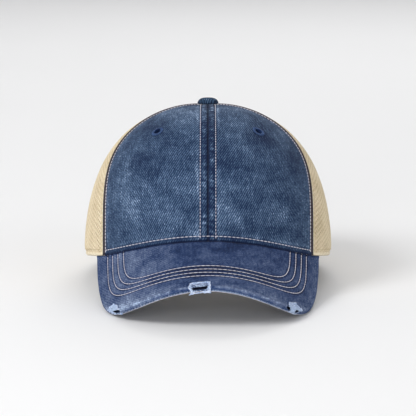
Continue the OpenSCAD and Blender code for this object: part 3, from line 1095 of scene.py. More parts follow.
@dataclass(frozen=True)
class PlasticFinish:
    """Injection-moulded plastic: smooth with a faint orange peel and fine handling scratches."""

    name: str
    colour: str
    haze: str = "#39415c"
    rough: float = 0.36
    shine: float = 0.5
    peel_mm: float = 1.1111
    haze_mm: float = 8.3333
    bump_mm: float = 0.05

    def make(self) -> Material:
        """Builds the material."""
        material, tree, shader = new_material(self.name, IOR=1.5, Specular_IOR_Level=self.shine)
        place = add(tree, "TexCoord", out="Object")
        peel = add(tree, "TexNoise", Vector=place, Scale=per_metre(self.peel_mm), Detail=2.0)
        haze = add(tree, "TexNoise", Vector=place, Scale=per_metre(self.haze_mm), Detail=5.0)
        tint = add(tree, "MixRGB", haze, linear(self.colour), linear(self.haze))
        rough = add(tree, "MapRange", Value=haze, To_Min=self.rough - 0.08, To_Max=self.rough + 0.12)
        bump = add(tree, "Bump", Height=peel, Strength=0.15, Distance=self.bump_mm * MM)
        for socket, name in ((tint, "Base Color"), (rough, "Roughness"), (bump, "Normal")):
            tree.links.new(socket, shader.inputs[name])
        return material


@dataclass(frozen=True)
class MetalFinish:
    """Pressed aluminium: bare satin metal with faint drawing marks from the press."""

    name: str
    colour: str = "#bfc2c4"
    marks: str = "#8f9294"
    mark_mm: float = 1.4286

    def make(self) -> Material:
        """Builds the material."""
        material, tree, shader = new_material(self.name, Metallic=1.0)
        place = add(tree, "TexCoord", out="Object")
        marks = add(tree, "TexNoise", Vector=place, Scale=per_metre(self.mark_mm), Detail=4.0)
        tint = add(tree, "MixRGB", marks, linear(self.colour), linear(self.marks))
        rough = add(tree, "MapRange", Value=marks, To_Min=0.3, To_Max=0.5)
        tree.links.new(tint, shader.inputs["Base Color"])
        tree.links.new(rough, shader.inputs["Roughness"])
        return material


class Wardrobe:
    """The cap's materials, each made once."""

    def __init__(self) -> None:
        """Builds every finish."""
        self.panel_twill = TwillFinish("washed_cotton_twill").make()
        self.visor_twill = TwillFinish(
            "washed_visor_twill", dark="#0c1733", mid="#22375f", light="#63708c", base=0.445,
            cloud_weight=0.7, wale_weight=0.12, yarn_weight=1.2, slub_weight=0.4,
        ).make()
        self.under_twill = TwillFinish(
            "dark_underbill_twill", dark="#18223c", mid="#2a3a5b", light="#4a5d80", base=0.4, cloud_weight=0.4
        ).make()
        self.button_twill = TwillFinish(
            "dark_button_twill", dark="#101a2c", mid="#1f3048", light="#425a74", base=0.4, yarn_weight=0.7,
            slub_weight=0.1,
        ).make()
        self.band_twill = TwillFinish(
            "sweatband_twill", dark="#17213c", mid="#2a3a5c", light="#465a80", base=0.42, cloud_weight=0.4
        ).make()
        self.mesh = KnitFinish("knitted_polyester_mesh").make()
        # Paler copy of the mesh for the folds, as a painted highlight on the raised folded edges.
        self.mesh_fold = KnitFinish(
            "folded_mesh_painted_highlight", low="#b3a17e", mid="#dccdad", high="#f0e5cd"
        ).make()
        # Dark strip in the front to side seam, which shows as a dark line there.
        self.piping = ThreadFinish("dark_seam_strip", "#17141c", "#3a3036").make()
        self.thread = ThreadFinish("blush_sewing_thread", "#9c9aab", "#dddce7").make()
        self.tan_thread = ThreadFinish("tan_sewing_thread", "#a8956e", "#d9c8a0").make()
        # Lit and shaded copies of one eyelet thread: the lining is darkened as painted shade in the holes,
        # the satin lightened as a painted highlight round them.
        self.eyelet_shade_thread = ThreadFinish("eyelet_lining_painted_shade", "#0a1633", "#1f3156", gloss=0.05).make()
        self.eyelet_highlight_thread = ThreadFinish("eyelet_satin_painted_highlight", "#1b2b4e", "#516b96", gloss=0.08).make()
        self.tape = WovenFinish("cream_cotton_tape", "#a89a7e", "#d9cdb2").make()
        self.binding = WovenFinish("cream_binding_twill", "#a99b80", "#dacdb0", yarn_mm=0.8).make()
        self.buckram = WovenFinish(
            "stiffened_buckram", "#a9a79f", "#e8e6de", yarn_mm=1.6, open_weave=0.25
        ).make()
        self.fray = FrayFinish("bare_cotton_yarn").make()
        # Painted shade: the board is near black so that the frayed holes read dark.
        self.board = PlasticFinish("visor_board_painted_shade", "#080c1c", "#0d1226", 0.7, 0.1).make()
        self.snap = PlasticFinish("moulded_snap_plastic", "#1f2740").make()
        self.metal = MetalFinish("pressed_aluminium").make()


@dataclass
class Maker:
    """What each sub-assembly on the crown is made with."""

    crown: CrownForm
    stance: Stance
    wardrobe: Wardrobe


# ---- Front panels ----


@dataclass
class FrontPanels(Maker):
    """Two washed twill panels over stiff backing, sewn together down the middle of the forehead."""

    cols: int = 84
    rows: int = 120
    twill_t: float = 0.7
    side_edge: float = 0.9
    centre_stitch: float = 5.2
    side_stitch: float = 1.6
    rim_stitch: float = 3.5
    row_end: float = 1.2
    centre_thread: Stitch = Stitch(length=1.85, gap=0.45, width=0.56)
    side_thread: Stitch = Stitch(length=2.1, gap=0.25, width=0.8)
    rim_thread: Stitch = Stitch(length=2.5, gap=0.35, width=0.66)
    tuck: float = 0.45
    backing_cells: tuple[int, int] = (44, 60)
    backing_t: float = 0.85
    backing_off: float = -1.25
    backing_in: float = 1.3
    backing_side_in: float = 1.2
    piping_w: float = 3.4
    piping_t: float = 0.3
    piping_low: float = -0.75
    piping_high: float = 1.75
    pole_r: float = 3.2
    eyelet_deg: float = 35.5
    eyelet_share: float = 0.675
    eyelet_cut: float = 2.9
    flat: tuple[float, float] = (0.100, 0.148)
    wear_and_shade_patches: tuple[tuple[float, float, float, float, float], ...] = (
        (-62, 44, 16, 26, 0.16), (-30, 30, 20, 10, 0.12), (-36, 86, 26, 12, -0.12), (-16, 104, 20, 5, 0.32),
        (30, 31, 24, 5, 0.14), (48, 40, 16, 14, 0.02), (20, 104, 20, 5, 0.3), (-40, 62, 14, 12, -0.12),
        (10, 78, 12, 16, -0.2), (34, 86, 16, 10, -0.12), (-16, 60, 14, 14, -0.1), (32, 52, 30, 26, -0.15),
        (62, 60, 9, 40, -0.16), (38, 21, 34, 5, -0.2), (-34, 88, 8, 7, -0.36), (36, 87, 9, 8, -0.42),
    )  # cloudy tone from rubbed pigment, with painted shade round the eyelets, along the +x edge and above the rim on the +x side: place across and up, half width, half height and amount of each patch

    def relief(self, centre: float, side: float, rim: float, p: Vector) -> tuple[float, float, float]:
        """Height of the cloth near its seams, its wear value, and its dye value, which paints shade in the
        seams and along the visor's root.

        Args:
            centre: Distance from the centre seam.
            side: Distance from the front to side seam.
            rim: Height above the rim.
            p: The point on the plain surface.

        Returns:
            Height over the plain surface in millimetres, wear and dye.
        """
        centre_row, side_row, rim_row = self.centre_stitch, self.side_stitch, self.rim_stitch
        rungs = drift(Vector((p.x * 0.35, p.y, p.z)), 1.5, 31) * hump(centre, 2.7, 1.9)
        rungs *= ease((centre_row - centre) / 0.6)
        pucker = hump(centre, centre_row, 4) + hump(side, side_row, 3.5) + hump(rim, rim_row, 4)
        pucker *= drift(p, 3.6, 1)
        height = 0.35 * drift(p, 24, 2) + 0.12 * drift(p, 9, 3) + 0.16 * pucker + 0.3 * rungs
        height += 0.5 * ease(centre / 1.4) * (1 - ease((centre - 3.2) / 2.2)) - 0.5 * (1 - ease(centre / 0.7))
        height -= 0.35 * hump(centre, centre_row, 0.9)
        height += 0.15 * (1 - ease((side - 1.2) / 1.2)) - 0.7 * (1 - ease(side / 0.9))
        height -= 0.2 * hump(side, side_row, 0.7)
        fold = max(0.0, 1 - ((rim - 1.3) / 1.7) ** 2)
        height += 0.9 * math.sqrt(fold) - 0.3 * hump(rim, rim_row, 0.8)
        edges = 0.35 * hump(centre, 6.9, 1.0) + 0.3 * hump(side, 3.2, 1.1) + 0.35 * hump(rim, 5.2, 1.3)
        wear = edges * (0.7 + 0.8 * drift(p, 7, 4)) + 0.28 * hump(rim, 1.3, 0.7)
        wear += 1.5 * rungs + 0.4 * hump(centre, 2.9, 1.2)
        # Darker for pigment left in the grooves, and painted shade in the centre groove, on a band beside it,
        # under the rows, in the side seam, and as a painted shadow along the visor's root.
        dye = 0.55 * hump(centre, 0, 0.4) + 0.6 * (1 - ease((centre - 4.4) / 1.0))
        dye += 0.5 * hump(centre, centre_row, 0.8)
        dye += 0.7 * hump(side, 0.3, 0.6) + 0.5 * hump(side, side_row, 0.6) + 0.6 * hump(rim, rim_row, 0.8)
        dye += 0.45 * (1 - ease((rim - 2.2) / 1.0)) + 0.8 * (1 - ease(rim / 0.7))
        return height, wear, dye

    def descend(self, u: float, v: float, tuck: float = 0.0) -> float:
        """Rise at a share across and down, with the lower edge a little below the hem."""
        crown = self.crown
        return crown.descend(self.pole_r / crown.half_w, crown.hem_z(crown.front_seam_deg * u) - tuck, v)

    def spot(self, side: Side, u: float, v: float) -> Spot:
        """Spot of the twill.

        Args:
            side: Side of the cap.
            u: Share across, from the centre seam.
            v: Share down, from the button.

        Returns:
            The spot.
        """
        crown, rise = self.crown, self.descend(u, v, self.tuck)
        s = crown.share(rise)
        seam = crown.ring(crown.seam_front(s))
        az = crown.ring_az(max(0.4, seam - self.side_edge / s)) * min(u, 1.0)
        p = mirrored(crown.point(az, rise), side)
        centre = s * crown.ring(az)
        front = s * (seam - crown.ring(az)) - self.side_edge
        height, wear, dye = self.relief(centre, front, p.z - crown.hem_z(az) + self.tuck, p)
        # Patches lighten the cloth where pigment is rubbed off and darken it, partly as painted shade round
        # the eyelets, along the +x edge and above the rim.
        for x, z, w, h, amount in self.wear_and_shade_patches:
            wear += amount * math.exp(-(((p.x - x) / w) ** 2) - ((p.z - z) / h) ** 2)
        near_top = ease((s - 0.07) / 0.06)
        at = mirrored(crown.point(az, rise, height * near_top), side)
        return Spot(at, (side.value * centre, -crown.climb(0, rise)), wear, dye)

    def eyelet(self, side: Side) -> tuple[Vector, Vector]:
        """Middle and axis of an eyelet."""
        return self.crown.seat(self.eyelet_deg, self.crown.rise_at_share(self.eyelet_share), 0.0, side)

    def off_eyelet(self, side: Side) -> Callable[[Spot], float]:
        """Tells how far a point lies inside the eyelet's hole."""
        at, axis = self.eyelet(side)
        return lambda spot: self.eyelet_cut - (spot.at - at).cross(axis).length

    def cloth(self, side: Side) -> Piece:
        """Builds one twill panel."""
        loom = Loom(self.stance)
        loom.weave(self.cols, self.rows, lambda u, v: self.spot(side, u, v), cut=self.off_eyelet(side))
        return loom.finish(f"twill_front_{side.word}", self.twill_t)

    def backing(self, side: Side) -> Piece:
        """Builds the stiff backing behind one panel.

        Args:
            side: Side of the cap.

        Returns:
            The backing.
        """
        crown = self.crown

        def spot(u: float, v: float) -> Spot:
            """Spot at a share across and along."""
            plain, rise = self.spot(side, u, v), self.descend(u, v)
            s = crown.share(rise)
            first = crown.beside(crown.seam_centre, s, self.backing_in)
            last = crown.beside(crown.seam_front, s, -self.backing_side_in)
            off = self.backing_off + 0.05 * drift(plain.at, 8, 6)
            return Spot(mirrored(crown.point(between(first, last, u), rise, off), side), plain.flat)

        loom = Loom(self.stance)
        loom.weave(*self.backing_cells, spot, cut=self.off_eyelet(side))
        return loom.finish(f"buckram_front_{side.word}", self.backing_t)

    def stitches(self) -> Piece:
        """Sews the rows beside the seams and along the rim."""
        crown, needle = self.crown, Needle(self.stance)
        side_in = self.side_edge + self.side_stitch
        rows = (
            (crown.seam_centre, self.centre_stitch, 0.0, 0.0, 0.095, self.centre_thread),
            (crown.seam_front, -side_in, 0.2, crown.front_seam_deg, 0.1, self.side_thread),
        )
        for side in Side:
            for seam, away, lift, az, top, thread in rows:
                low_z = crown.hem_z(az) + self.row_end
                needle.sew(crown.seam_path(side, seam, away, lift, low_z, top), thread)
        end, above = crown.front_seam_deg - 0.9, self.rim_stitch - self.tuck
        needle.sew(crown.hem_path(Side.LEFT, -end, end, above, -0.02, 120), self.rim_thread)
        return needle.finish("front_stitches")

    def piping(self, side: Side) -> Piece:
        """Builds the dark strip that lies in the front to side seam and shows there as a dark line.

        Args:
            side: Side of the cap.

        Returns:
            The edge.
        """
        crown = self.crown

        def spot(u: float, v: float) -> Spot:
            """Spot at a share across and along."""
            rise = crown.descend(0.1, crown.hem_z(crown.front_seam_deg) - 0.2, v)
            az = crown.beside(crown.seam_front, crown.share(rise), (u - 0.48) * self.piping_w)
            height = self.piping_low + self.piping_high * math.sin(math.pi * u) ** 0.7
            at = mirrored(crown.point(az, rise, height), side)
            return Spot(at, (u * self.piping_w, crown.climb(0, rise)))

        loom = Loom(self.stance)
        loom.weave(6, self.rows, spot)
        return loom.finish(f"seam_piping_{side.word}", self.piping_t)

    def build(self) -> None:
        w = self.wardrobe
        for side in Side:
            behind, tape = f"front_backing_{side.word}", f"front_side_tape_{side.word}"
            twill = dressed(self.cloth(side), "washed_twill", w.panel_twill, f"front_panel_{side.word}")
            backing = dressed(self.backing(side), "buckram", w.buckram, behind)
            dressed(self.piping(side), "seam_tape", w.piping)
        dressed(self.stitches(), "eyelet_thread", w.thread)


# ---- Mesh panels ----


@dataclass
class MeshPanel:
    """One panel of knitted mesh, cut flat with its holes in even rows, between two seams."""

    crown: CrownForm
    stance: Stance
    name: str
    side: Side
    seam_a: Seam
    seam_b: Seam
    middle: float
    half_w: float
    pitch: float = 2.6
    hole_r: float = 0.78
    thickness: float = 0.5
    trimmed: float = 0.6
    plain: float = 2.6
    off: float = -0.2
    steps: int = 240

    def __post_init__(self) -> None:
        """Measures the panel's middle line, from the rim up."""
        top = self.crown.rise_at_share(0.035)
        self.rises = [between(90.0, top, i / self.steps) for i in range(self.steps + 1)]
        self.heights = run_of([self.crown.point(self.middle, rise) for rise in self.rises])

    def rise_at(self, up: float) -> float:
        """Rise at a height up the flat panel."""
        k, f = locate(self.heights, up)
        return between(self.rises[k], self.rises[k + 1], min(1.0, max(0.0, f)))

    def at(self, x: float, up: float) -> tuple[float, float]:
        """Length along the widest ring, and rise, of a place on the flat panel."""
        rise = self.rise_at(up)
        return self.crown.ring(self.middle) + x / self.crown.share(rise), rise

    def clear(self, x: float, up: float) -> float:
        """Distance of a place from the panel's nearest edge.

        Args:
            x: Distance across the flat panel from its middle line.
            up: Height up the flat panel.

        Returns:
            The distance, below 0 outside the panel.
        """
        crown = self.crown
        here, rise = self.at(x, up)
        s, low = crown.share(rise), crown.low_z(min(180.0, crown.ring_az(here)))
        return min(
            s * (here - crown.ring(self.seam_a(s))),
            s * (crown.ring(self.seam_b(s)) - here),
            (crown.z_at(rise) - low) * 1.03,
            self.heights[-1] - up,
        )

    def spot(self, co: Vector) -> Spot:
        """Spot of a flat point, which is in millimetres."""
        here, rise = self.at(co.x, co.y)
        az = self.crown.ring_az(here)
        p = self.crown.point(az, rise)
        near_edge = hump(self.clear(co.x, co.y), 2.5, 4)
        height = self.off + 0.25 * drift(p, 22, 8) + 0.12 * drift(p, 6, 9) * near_edge
        at = self.crown.point(az, rise, height - self.crown.roll(az, rise))
        return Spot(mirrored(at, self.side), (co.x, co.y), 0.25 * drift(p, 18, 5))

    def gone(self, face: bmesh.types.BMFace) -> bool:
        """Whether a cell is a hole or lies past the panel's edge."""
        centre = face.calc_center_median()
        edge, hexagon = self.clear(centre.x, centre.y), 1.5 * math.sqrt(3) * self.hole_r**2
        return edge < self.trimmed or (face.calc_area() < 1.1 * hexagon and edge > self.plain)

    def build(self) -> Piece:
        """Builds the panel: a lattice of triangles with its corners cut into holes."""
        loom = Loom(self.stance)
        bm, row = loom.bm, self.pitch * math.sqrt(3) / 2
        cols, rows = int(2 * self.half_w / row) + 2, int(self.heights[-1] / self.pitch) + 2
        verts = bmesh.ops.create_grid(bm, x_segments=cols, y_segments=rows, size=0.5)["verts"]
        for v in verts:
            i, j = round((v.co.x + 0.5) * cols), round((v.co.y + 0.5) * rows)
            v.co = Vector(((i - cols / 2) * row, (j + 0.5 * (i % 2)) * self.pitch, 0))
        far = [v for v in verts if self.clear(v.co.x, v.co.y) < -1.5 * self.pitch]
        bmesh.ops.delete(bm, geom=far, context="VERTS")
        bmesh.ops.triangulate(bm, faces=bm.faces[:], quad_method="SHORT_EDGE")
        bmesh.ops.bevel(
            bm, geom=bm.verts[:], offset=self.hole_r, offset_type="OFFSET", affect="VERTICES", segments=1,
            profile=0.5, material=-1,
        )
        bmesh.ops.delete(bm, geom=[f for f in bm.faces if self.gone(f)], context="FACES")
        loom.lay({v: self.spot(v.co) for v in bm.verts})
        loom.face_out(bm.faces[:])
        return loom.finish(self.name, self.thickness)


@dataclass
class MeshPanels(Maker):
    """Four mesh panels behind the front ones, with their folded edges, seams and hem."""

    edge: float = 1.5
    back_edge: float = 0.15
    fold_w: float = 2.6
    fold_t: float = 0.4
    hem_low: float = -0.3
    hem_h: float = 2.7
    stitch_in: float = 4.0
    hem_stitch: float = 4.2
    row_off: float = -0.05
    row_end: float = 1.0
    nape_row_end: float = 7.5
    thread: Stitch = Stitch(length=2.6, gap=0.7, width=0.6, height=0.45, lift=0.1)

    def fold(self, loom: Loom, side: Side, seam: Seam, way: int, low_z: float, edge: float) -> None:
        """Adds the folded edge of a mesh panel along a seam.

        Args:
            loom: Mesh that gets the fold.
            side: Side of the cap.
            seam: The seam.
            way: 1 behind the seam, -1 in front of it.
            low_z: Height at which the fold ends.
            edge: Distance of the fold from the seam.
        """
        crown = self.crown

        def spot(u: float, v: float) -> Spot:
            """Spot at a share across and along."""
            rise = crown.descend(0.1, low_z, v)
            s = crown.share(rise)
            az = crown.beside(seam, s, way * (edge + self.fold_w * u))
            height = 0.3 * math.sin(math.pi * min(1.0, u * 1.25)) ** 0.6 if u < 0.8 else 0.0
            height -= 0.8 * (1 - ease(u / 0.2)) + 0.45 * ease((u - 0.6) / 0.4)
            height += 0.08 * drift(crown.point(az, rise), 3, 12) - 0.4 * (1 - ease((s - 0.25) / 0.3))
            # Painted highlight along the fold's crest, painted shade at its edges.
            wear, dye = 0.3 * hump(u, 0.4, 0.25), 0.8 * (1 - ease(u / 0.15)) + 0.3 * ease((u - 0.8) / 0.2)
            at = mirrored(crown.point(az, rise, height), side)
            return Spot(at, (u * 3, crown.climb(seam(s), rise)), wear, dye)

        loom.weave(9, 90, spot)

    def hem(self, loom: Loom, side: Side, first: float, last: float) -> None:
        """Adds the folded lower edge of the mesh.

        Args:
            loom: Mesh that gets the hem.
            side: Side of the cap.
            first: Angle at which it starts.
            last: Angle at which it ends.
        """
        crown = self.crown

        def spot(u: float, v: float) -> Spot:
            """Spot at a share across and along."""
            az = between(first, last, u)
            rise = crown.rise_at_z(crown.hem_z(az) + self.hem_low + self.hem_h * v)
            height = 0.1 + 0.3 * math.sin(math.pi * v)
            height -= 0.75 * (1 - ease(v / 0.25)) + 0.35 * ease((v - 0.7) / 0.3)
            at = mirrored(crown.point(az, rise, height - crown.roll(az, rise)), side)
            # Painted highlight along the hem's crest, painted shade at its lower edge.
            return Spot(at, (crown.ring(az), 2.4 * v), 0.3 * hump(v, 0.4, 0.3), 0.7 * (1 - ease(v / 0.2)))

        loom.weave(int(last - first), 7, spot)

    def rows(self, needle: Needle, side: Side) -> None:
        """Sews the tone on tone rows beside the seams and above the hem.

        Args:
            needle: Mesh that gets the stitches.
            side: Side of the cap.
        """
        crown = self.crown
        low, nape_low = (crown.hem_z(az) + self.row_end for az in (crown.front_seam_deg, crown.back_seam_deg))
        rows = (
            (crown.seam_front, self.stitch_in, low), (crown.seam_back, -self.stitch_in, nape_low),
            (crown.seam_back, self.stitch_in, nape_low),
            (crown.seam_nape, -self.stitch_in, crown.opening_top_z + self.nape_row_end),
        )
        for seam, away, low_z in rows:
            needle.sew(crown.seam_path(side, seam, away, self.row_off, low_z, steps=80), self.thread)
        first, last = crown.front_seam_deg + 1.5, 180 - crown.opening_half_deg - 5
        needle.sew(crown.hem_path(side, first, last, self.hem_stitch, self.row_off, 100), self.thread)

    def folds(self, side: Side) -> Piece:
        """Builds the folded edges and hems of one side.

        Args:
            side: Side of the cap.

        Returns:
            The folds.
        """
        crown, loom = self.crown, Loom(self.stance)
        back, nape = crown.back_seam_deg, 180 - crown.opening_half_deg
        self.fold(loom, side, crown.seam_front, 1, crown.hem_z(crown.front_seam_deg), self.edge)
        for way in (-1, 1):
            self.fold(loom, side, crown.seam_back, way, crown.hem_z(back), self.back_edge)
        self.fold(loom, side, crown.seam_nape, -1, crown.opening_top_z + 1, self.back_edge)
        self.hem(loom, side, crown.front_seam_deg + 0.6, back - 0.4)
        self.hem(loom, side, back + 0.4, nape - 0.5)
        return loom.finish(f"mesh_folds_{side.word}", self.fold_t)

    def build(self) -> None:
        crown, w, needle = self.crown, self.wardrobe, Needle(self.stance)
        parts = (
            ("side", crown.seam_front, crown.seam_back, 88.0, 62.0, (0.112, 0.150), 0.0128),
            ("back", crown.seam_back, crown.seam_nape, 150.0, 58.0, (0.100, 0.142), 0.0086),
        )
        for side in Side:
            for word, seam_a, seam_b, middle, half_w, flat, area in parts:
                name, node = f"mesh_{word}_{side.word}", f"{word}_mesh_{side.word}"
                panel = MeshPanel(crown, self.stance, name, side, seam_a, seam_b, middle, half_w)
                cloth = dressed(panel.build(), "tan_mesh", w.mesh, node)
            dressed(self.folds(side), "tan_mesh", w.mesh_fold)
            self.rows(needle, side)
        dressed(needle.finish("mesh_stitches"), "tan_mesh", w.tan_thread)


# ---- Tapes, sweatband and binding inside the crown ----


@dataclass
class Lining(Maker):
    """Woven tapes over the inside seams, the hem tape, the sweatband and the opening's binding."""

    tape_w: float = 12.0
    tape_t: float = 0.5
    hem_tape_w: float = 14.0
    front_off: float = -2.32
    mesh_off: float = -1.17
    band_h: float = 32.0
    band_t: float = 0.85
    band_end: float = 146.8
    band_off: float = -3.12
    band_end_off: float = -5.55
    band_row: float = 0.88
    step_from: float = 122.0
    step_w: float = 16.0
    bind_w: float = 6.0
    bind_t: float = 0.55
    bind_turn: float = -0.6
    bind_out: float = 0.45
    bind_in: float = -1.45
    bind_row: float = 4.6
    thread: Stitch = Stitch(length=2.6, gap=0.7, width=0.6, height=0.45, lift=0.1)

    def tape(self, name: str, side: Side, seam: Seam, low_z: float, off: float) -> Piece:
        """Builds the tape over one inside seam.

        Args:
            name: The piece's name.
            side: Side of the cap.
            seam: The seam.
            low_z: Height of the tape's lower end.
            off: Distance of its outer face from the crown's surface.

        Returns:
            The tape.
        """
        crown = self.crown

        def spot(u: float, v: float) -> Spot:
            """Spot at a share across and along."""
            rise = crown.descend(0.14, low_z, v)
            s = crown.share(rise)
            arm = crown.ring_point(seam(s)).length * s
            az = seam(s) + math.degrees(math.atan((u - 0.5) * self.tape_w / arm))
            up, out = crown.climb(seam(s), rise), abs(u - 0.5)
            ribs = 0.06 * math.sin(up / 3.3 * math.tau) * hump(out, 0.36, 0.08)
            edge = 0.036 * (hump(u, 0.06, 0.05) + hump(u, 0.94, 0.05))
            at = mirrored(crown.point(az, rise, off - ribs + edge), side)
            # Painted shade along the lines of the tape's ribs.
            return Spot(at, (u * self.tape_w, up), 0.0, 0.35 * hump(out, 0.36, 0.03))

        loom = Loom(self.stance)
        loom.weave(12, 70, spot)
        return loom.finish(name, self.tape_t)

    def hem_tape(self, side: Side) -> Piece:
        """Builds the tape inside the mesh's hem.

        Args:
            side: Side of the cap.

        Returns:
            The tape.
        """
        crown = self.crown

        def spot(u: float, v: float) -> Spot:
            """Spot at a share across and along."""
            az = between(crown.front_seam_deg + 2, 180 - crown.opening_half_deg - 5.3, u)
            rise = crown.rise_at_z(crown.hem_z(az) + crown.rim_gap + self.hem_tape_w * v)
            at = mirrored(crown.point(az, rise, self.mesh_off - 0.06 - crown.roll(az, rise)), side)
            return Spot(at, (crown.ring(az), self.hem_tape_w * v))

        loom = Loom(self.stance)
        loom.weave(80, 10, spot)
        return loom.finish(f"tape_hem_{side.word}", self.tape_t)

    def band_rise(self, az: float, v: float) -> float:
        """Rise at an angle and a share up the sweatband."""
        return self.crown.rise_at_z(self.crown.hem_z(az) + self.crown.rim_gap + self.band_h * v)

    def band_lift(self, az: float) -> float:
        """Distance of the sweatband's outer face from the crown's surface; it steps in over the strap."""
        return between(self.band_off, self.band_end_off, ease((abs(az) - self.step_from) / self.step_w))

    def sweatband(self) -> Piece:
        """Builds the sweatband with its folded top and bottom edges."""
        crown = self.crown

        def spot(u: float, v: float) -> Spot:
            """Spot at a share across and along."""
            az = self.band_end * (2 * u - 1)
            rise = self.band_rise(az, v)
            p = crown.point(az, rise)
            sag = 0.35 * hump(v, 0.5, 0.25) * (0.6 + 0.4 * drift(p, 26, 16))
            off = self.band_lift(az) - 0.25 * max(0.0, drift(p, 9, 15)) - sag
            at = crown.point(az, rise, off - crown.roll(abs(az), rise))
            # Lighter along the top fold, and painted shade along the row of stitches.
            wear, dye = 0.3 * hump(v, 0.95, 0.03), 0.4 * hump(v, self.band_row, 0.02)
            return Spot(at, (crown.ring(az), self.band_h * v), wear, dye)

        loom = Loom(self.stance)
        loom.weave(260, 24, spot)
        return loom.finish("sweatband_cloth", self.band_t)

    def arch(self, t: float, off: float = 0.0) -> Vector:
        """Point of the opening's edge, t from -90 at one end of the arch to 90 at the other."""
        q = self.crown.opening_half_deg * math.sin(math.radians(t))
        return self.crown.point(180 - q, self.crown.rise_at_z(self.crown.arch_z(abs(q))), off)

    def arch_axes(self, t: float, back: float, ahead: float) -> tuple[Vector, Vector, Vector]:
        """Place and directions at the opening's edge.

        Args:
            t: Place along the arch.
            back: How far behind it the edge's direction is measured from.
            ahead: How far ahead of it the direction is measured to.

        Returns:
            The place, the direction out of the crown, and the one away from the opening.
        """
        p = self.arch(t)
        n = (self.arch(t, 1.0) - p).normalized()
        along = self.arch(min(90.0, t + ahead)) - self.arch(max(-90.0, t - back))
        return p, n, along.cross(n).normalized()

    def bind_profile(self, v: float) -> tuple[float, float, int]:
        """Section of the folded binding: its outer face, the turn round the edge, and its inner face.

        Args:
            v: Share of the way round the section.

        Returns:
            Distance from the opening's edge, height over the surface, and 1 outside, -1 inside or 0.
        """
        if v < 0.4:
            return between(self.bind_w, self.bind_turn, v / 0.4), self.bind_out, 1
        if v > 0.6:
            return between(self.bind_turn, self.bind_w, (v - 0.6) / 0.4), self.bind_in, -1
        a = math.pi * (v - 0.4) / 0.2
        height = between(self.bind_in, self.bind_out, (1 + math.cos(a)) / 2)
        return self.bind_turn - 0.35 * math.sin(a), height, 0

    def binding(self) -> Piece:
        """Builds the folded binding round the arched opening."""

        def spot(u: float, v: float) -> Spot:
            """Spot at a share across and along."""
            p, n, side = self.arch_axes(-90 + 180 * u, 2, 2)
            x, h, way = self.bind_profile(v)
            h += (0.14 * drift(p + side * x, 4, 18) - 0.3 * hump(x, self.bind_row, 0.7)) * way
            at = p + side * x + n * (h - x * x / (2 * self.crown.half_w))
            # Painted shade along the row of stitches.
            wear, dye = 0.3 * hump(v, 0.42, 0.05), 0.4 * hump(x, self.bind_row, 0.5)
            return Spot(at, (u * 150, x if v < 0.5 else 14 - x), wear, dye)

        loom = Loom(self.stance)
        loom.weave(110, 30, spot, Vector((0, 60, 40)))
        return loom.finish("binding_cloth", self.bind_t, 0.0)

    def stitches(self) -> Piece:
        """Sews the rows that hold the binding and the sweatband."""
        crown, needle, outer, inner = self.crown, Needle(self.stance), [], []
        for i in range(121):
            p, n, side = self.arch_axes(-88 + 176 * i / 120, 0, 1)
            outer.append((p + side * self.bind_row + n * 0.55, n))
        needle.sew(outer, self.thread)
        for i in range(241):
            az = (self.band_end - 1) * (i / 120 - 1)
            rise = self.band_rise(az, self.band_row)
            inner.append((crown.point(az, rise, self.band_lift(az) - 0.95), -crown.normal(az, rise)))
        needle.sew(inner, self.thread)
        return needle.finish("lining_stitches")

    def seam_tapes(self) -> None:
        crown, tape = self.crown, self.wardrobe.tape
        middle, nape = crown.hem_z(0) + 0.3, crown.opening_top_z + 7
        front, back = crown.hem_z(crown.front_seam_deg) + 0.3, crown.hem_z(crown.back_seam_deg) + 15
        tapes = [
            ("centre_front", "front_centre_tape", Side.LEFT, crown.seam_centre, middle, self.front_off),
            ("centre_back", "back_centre_tape", Side.LEFT, crown.seam_nape, nape, self.mesh_off),
        ]
        for side in Side:
            w = side.word
            tapes += [
                (f"front_{w}", f"front_side_tape_{w}", side, crown.seam_front, front, self.front_off),
                (f"back_{w}", f"side_back_tape_{w}", side, crown.seam_back, back, self.mesh_off),
            ]
        for name, node, side, seam, low_z, off in tapes:
            piece = dressed(self.tape(f"tape_{name}", side, seam, low_z, off), "seam_tape", tape, node)
            length = crown.climb(seam(1.0), crown.rise_at_z(low_z)) - 12

    def build(self) -> None:
        w = self.wardrobe
        self.seam_tapes()
        for side in Side:
            hem = dressed(self.hem_tape(side), "seam_tape", w.tape, f"hem_tape_{side.word}")
        band = dressed(self.sweatband(), "sweatband_twill", w.band_twill, "sweatband")
        binding = dressed(self.binding(), "binding_twill", w.binding, "opening_binding")
        dressed(self.stitches(), "seam_tape", w.tan_thread)


# ---- Visor ----


Outline = tuple[tuple[float, float], ...]


def inset(corners: Outline, x: float, y: float) -> float:
    """Distance of a place inside a closed outline, below 0 where it is outside.

    Args:
        corners: The outline's corners.
        x: The place across.
        y: The place along.

    Returns:
        The distance.
    """
    inside, near = False, 1e9
    for (ax, ay), (bx, by) in zip(corners, corners[1:] + corners[:1]):
        if (ay > y) != (by > y) and x < ax + (y - ay) * (bx - ax) / (by - ay):
            inside = not inside
        dx, dy = bx - ax, by - ay
        t = max(0.0, min(1.0, ((x - ax) * dx + (y - ay) * dy) / (dx * dx + dy * dy)))
        near = min(near, math.hypot(x - ax - t * dx, y - ay - t * dy))
    return near if inside else -near


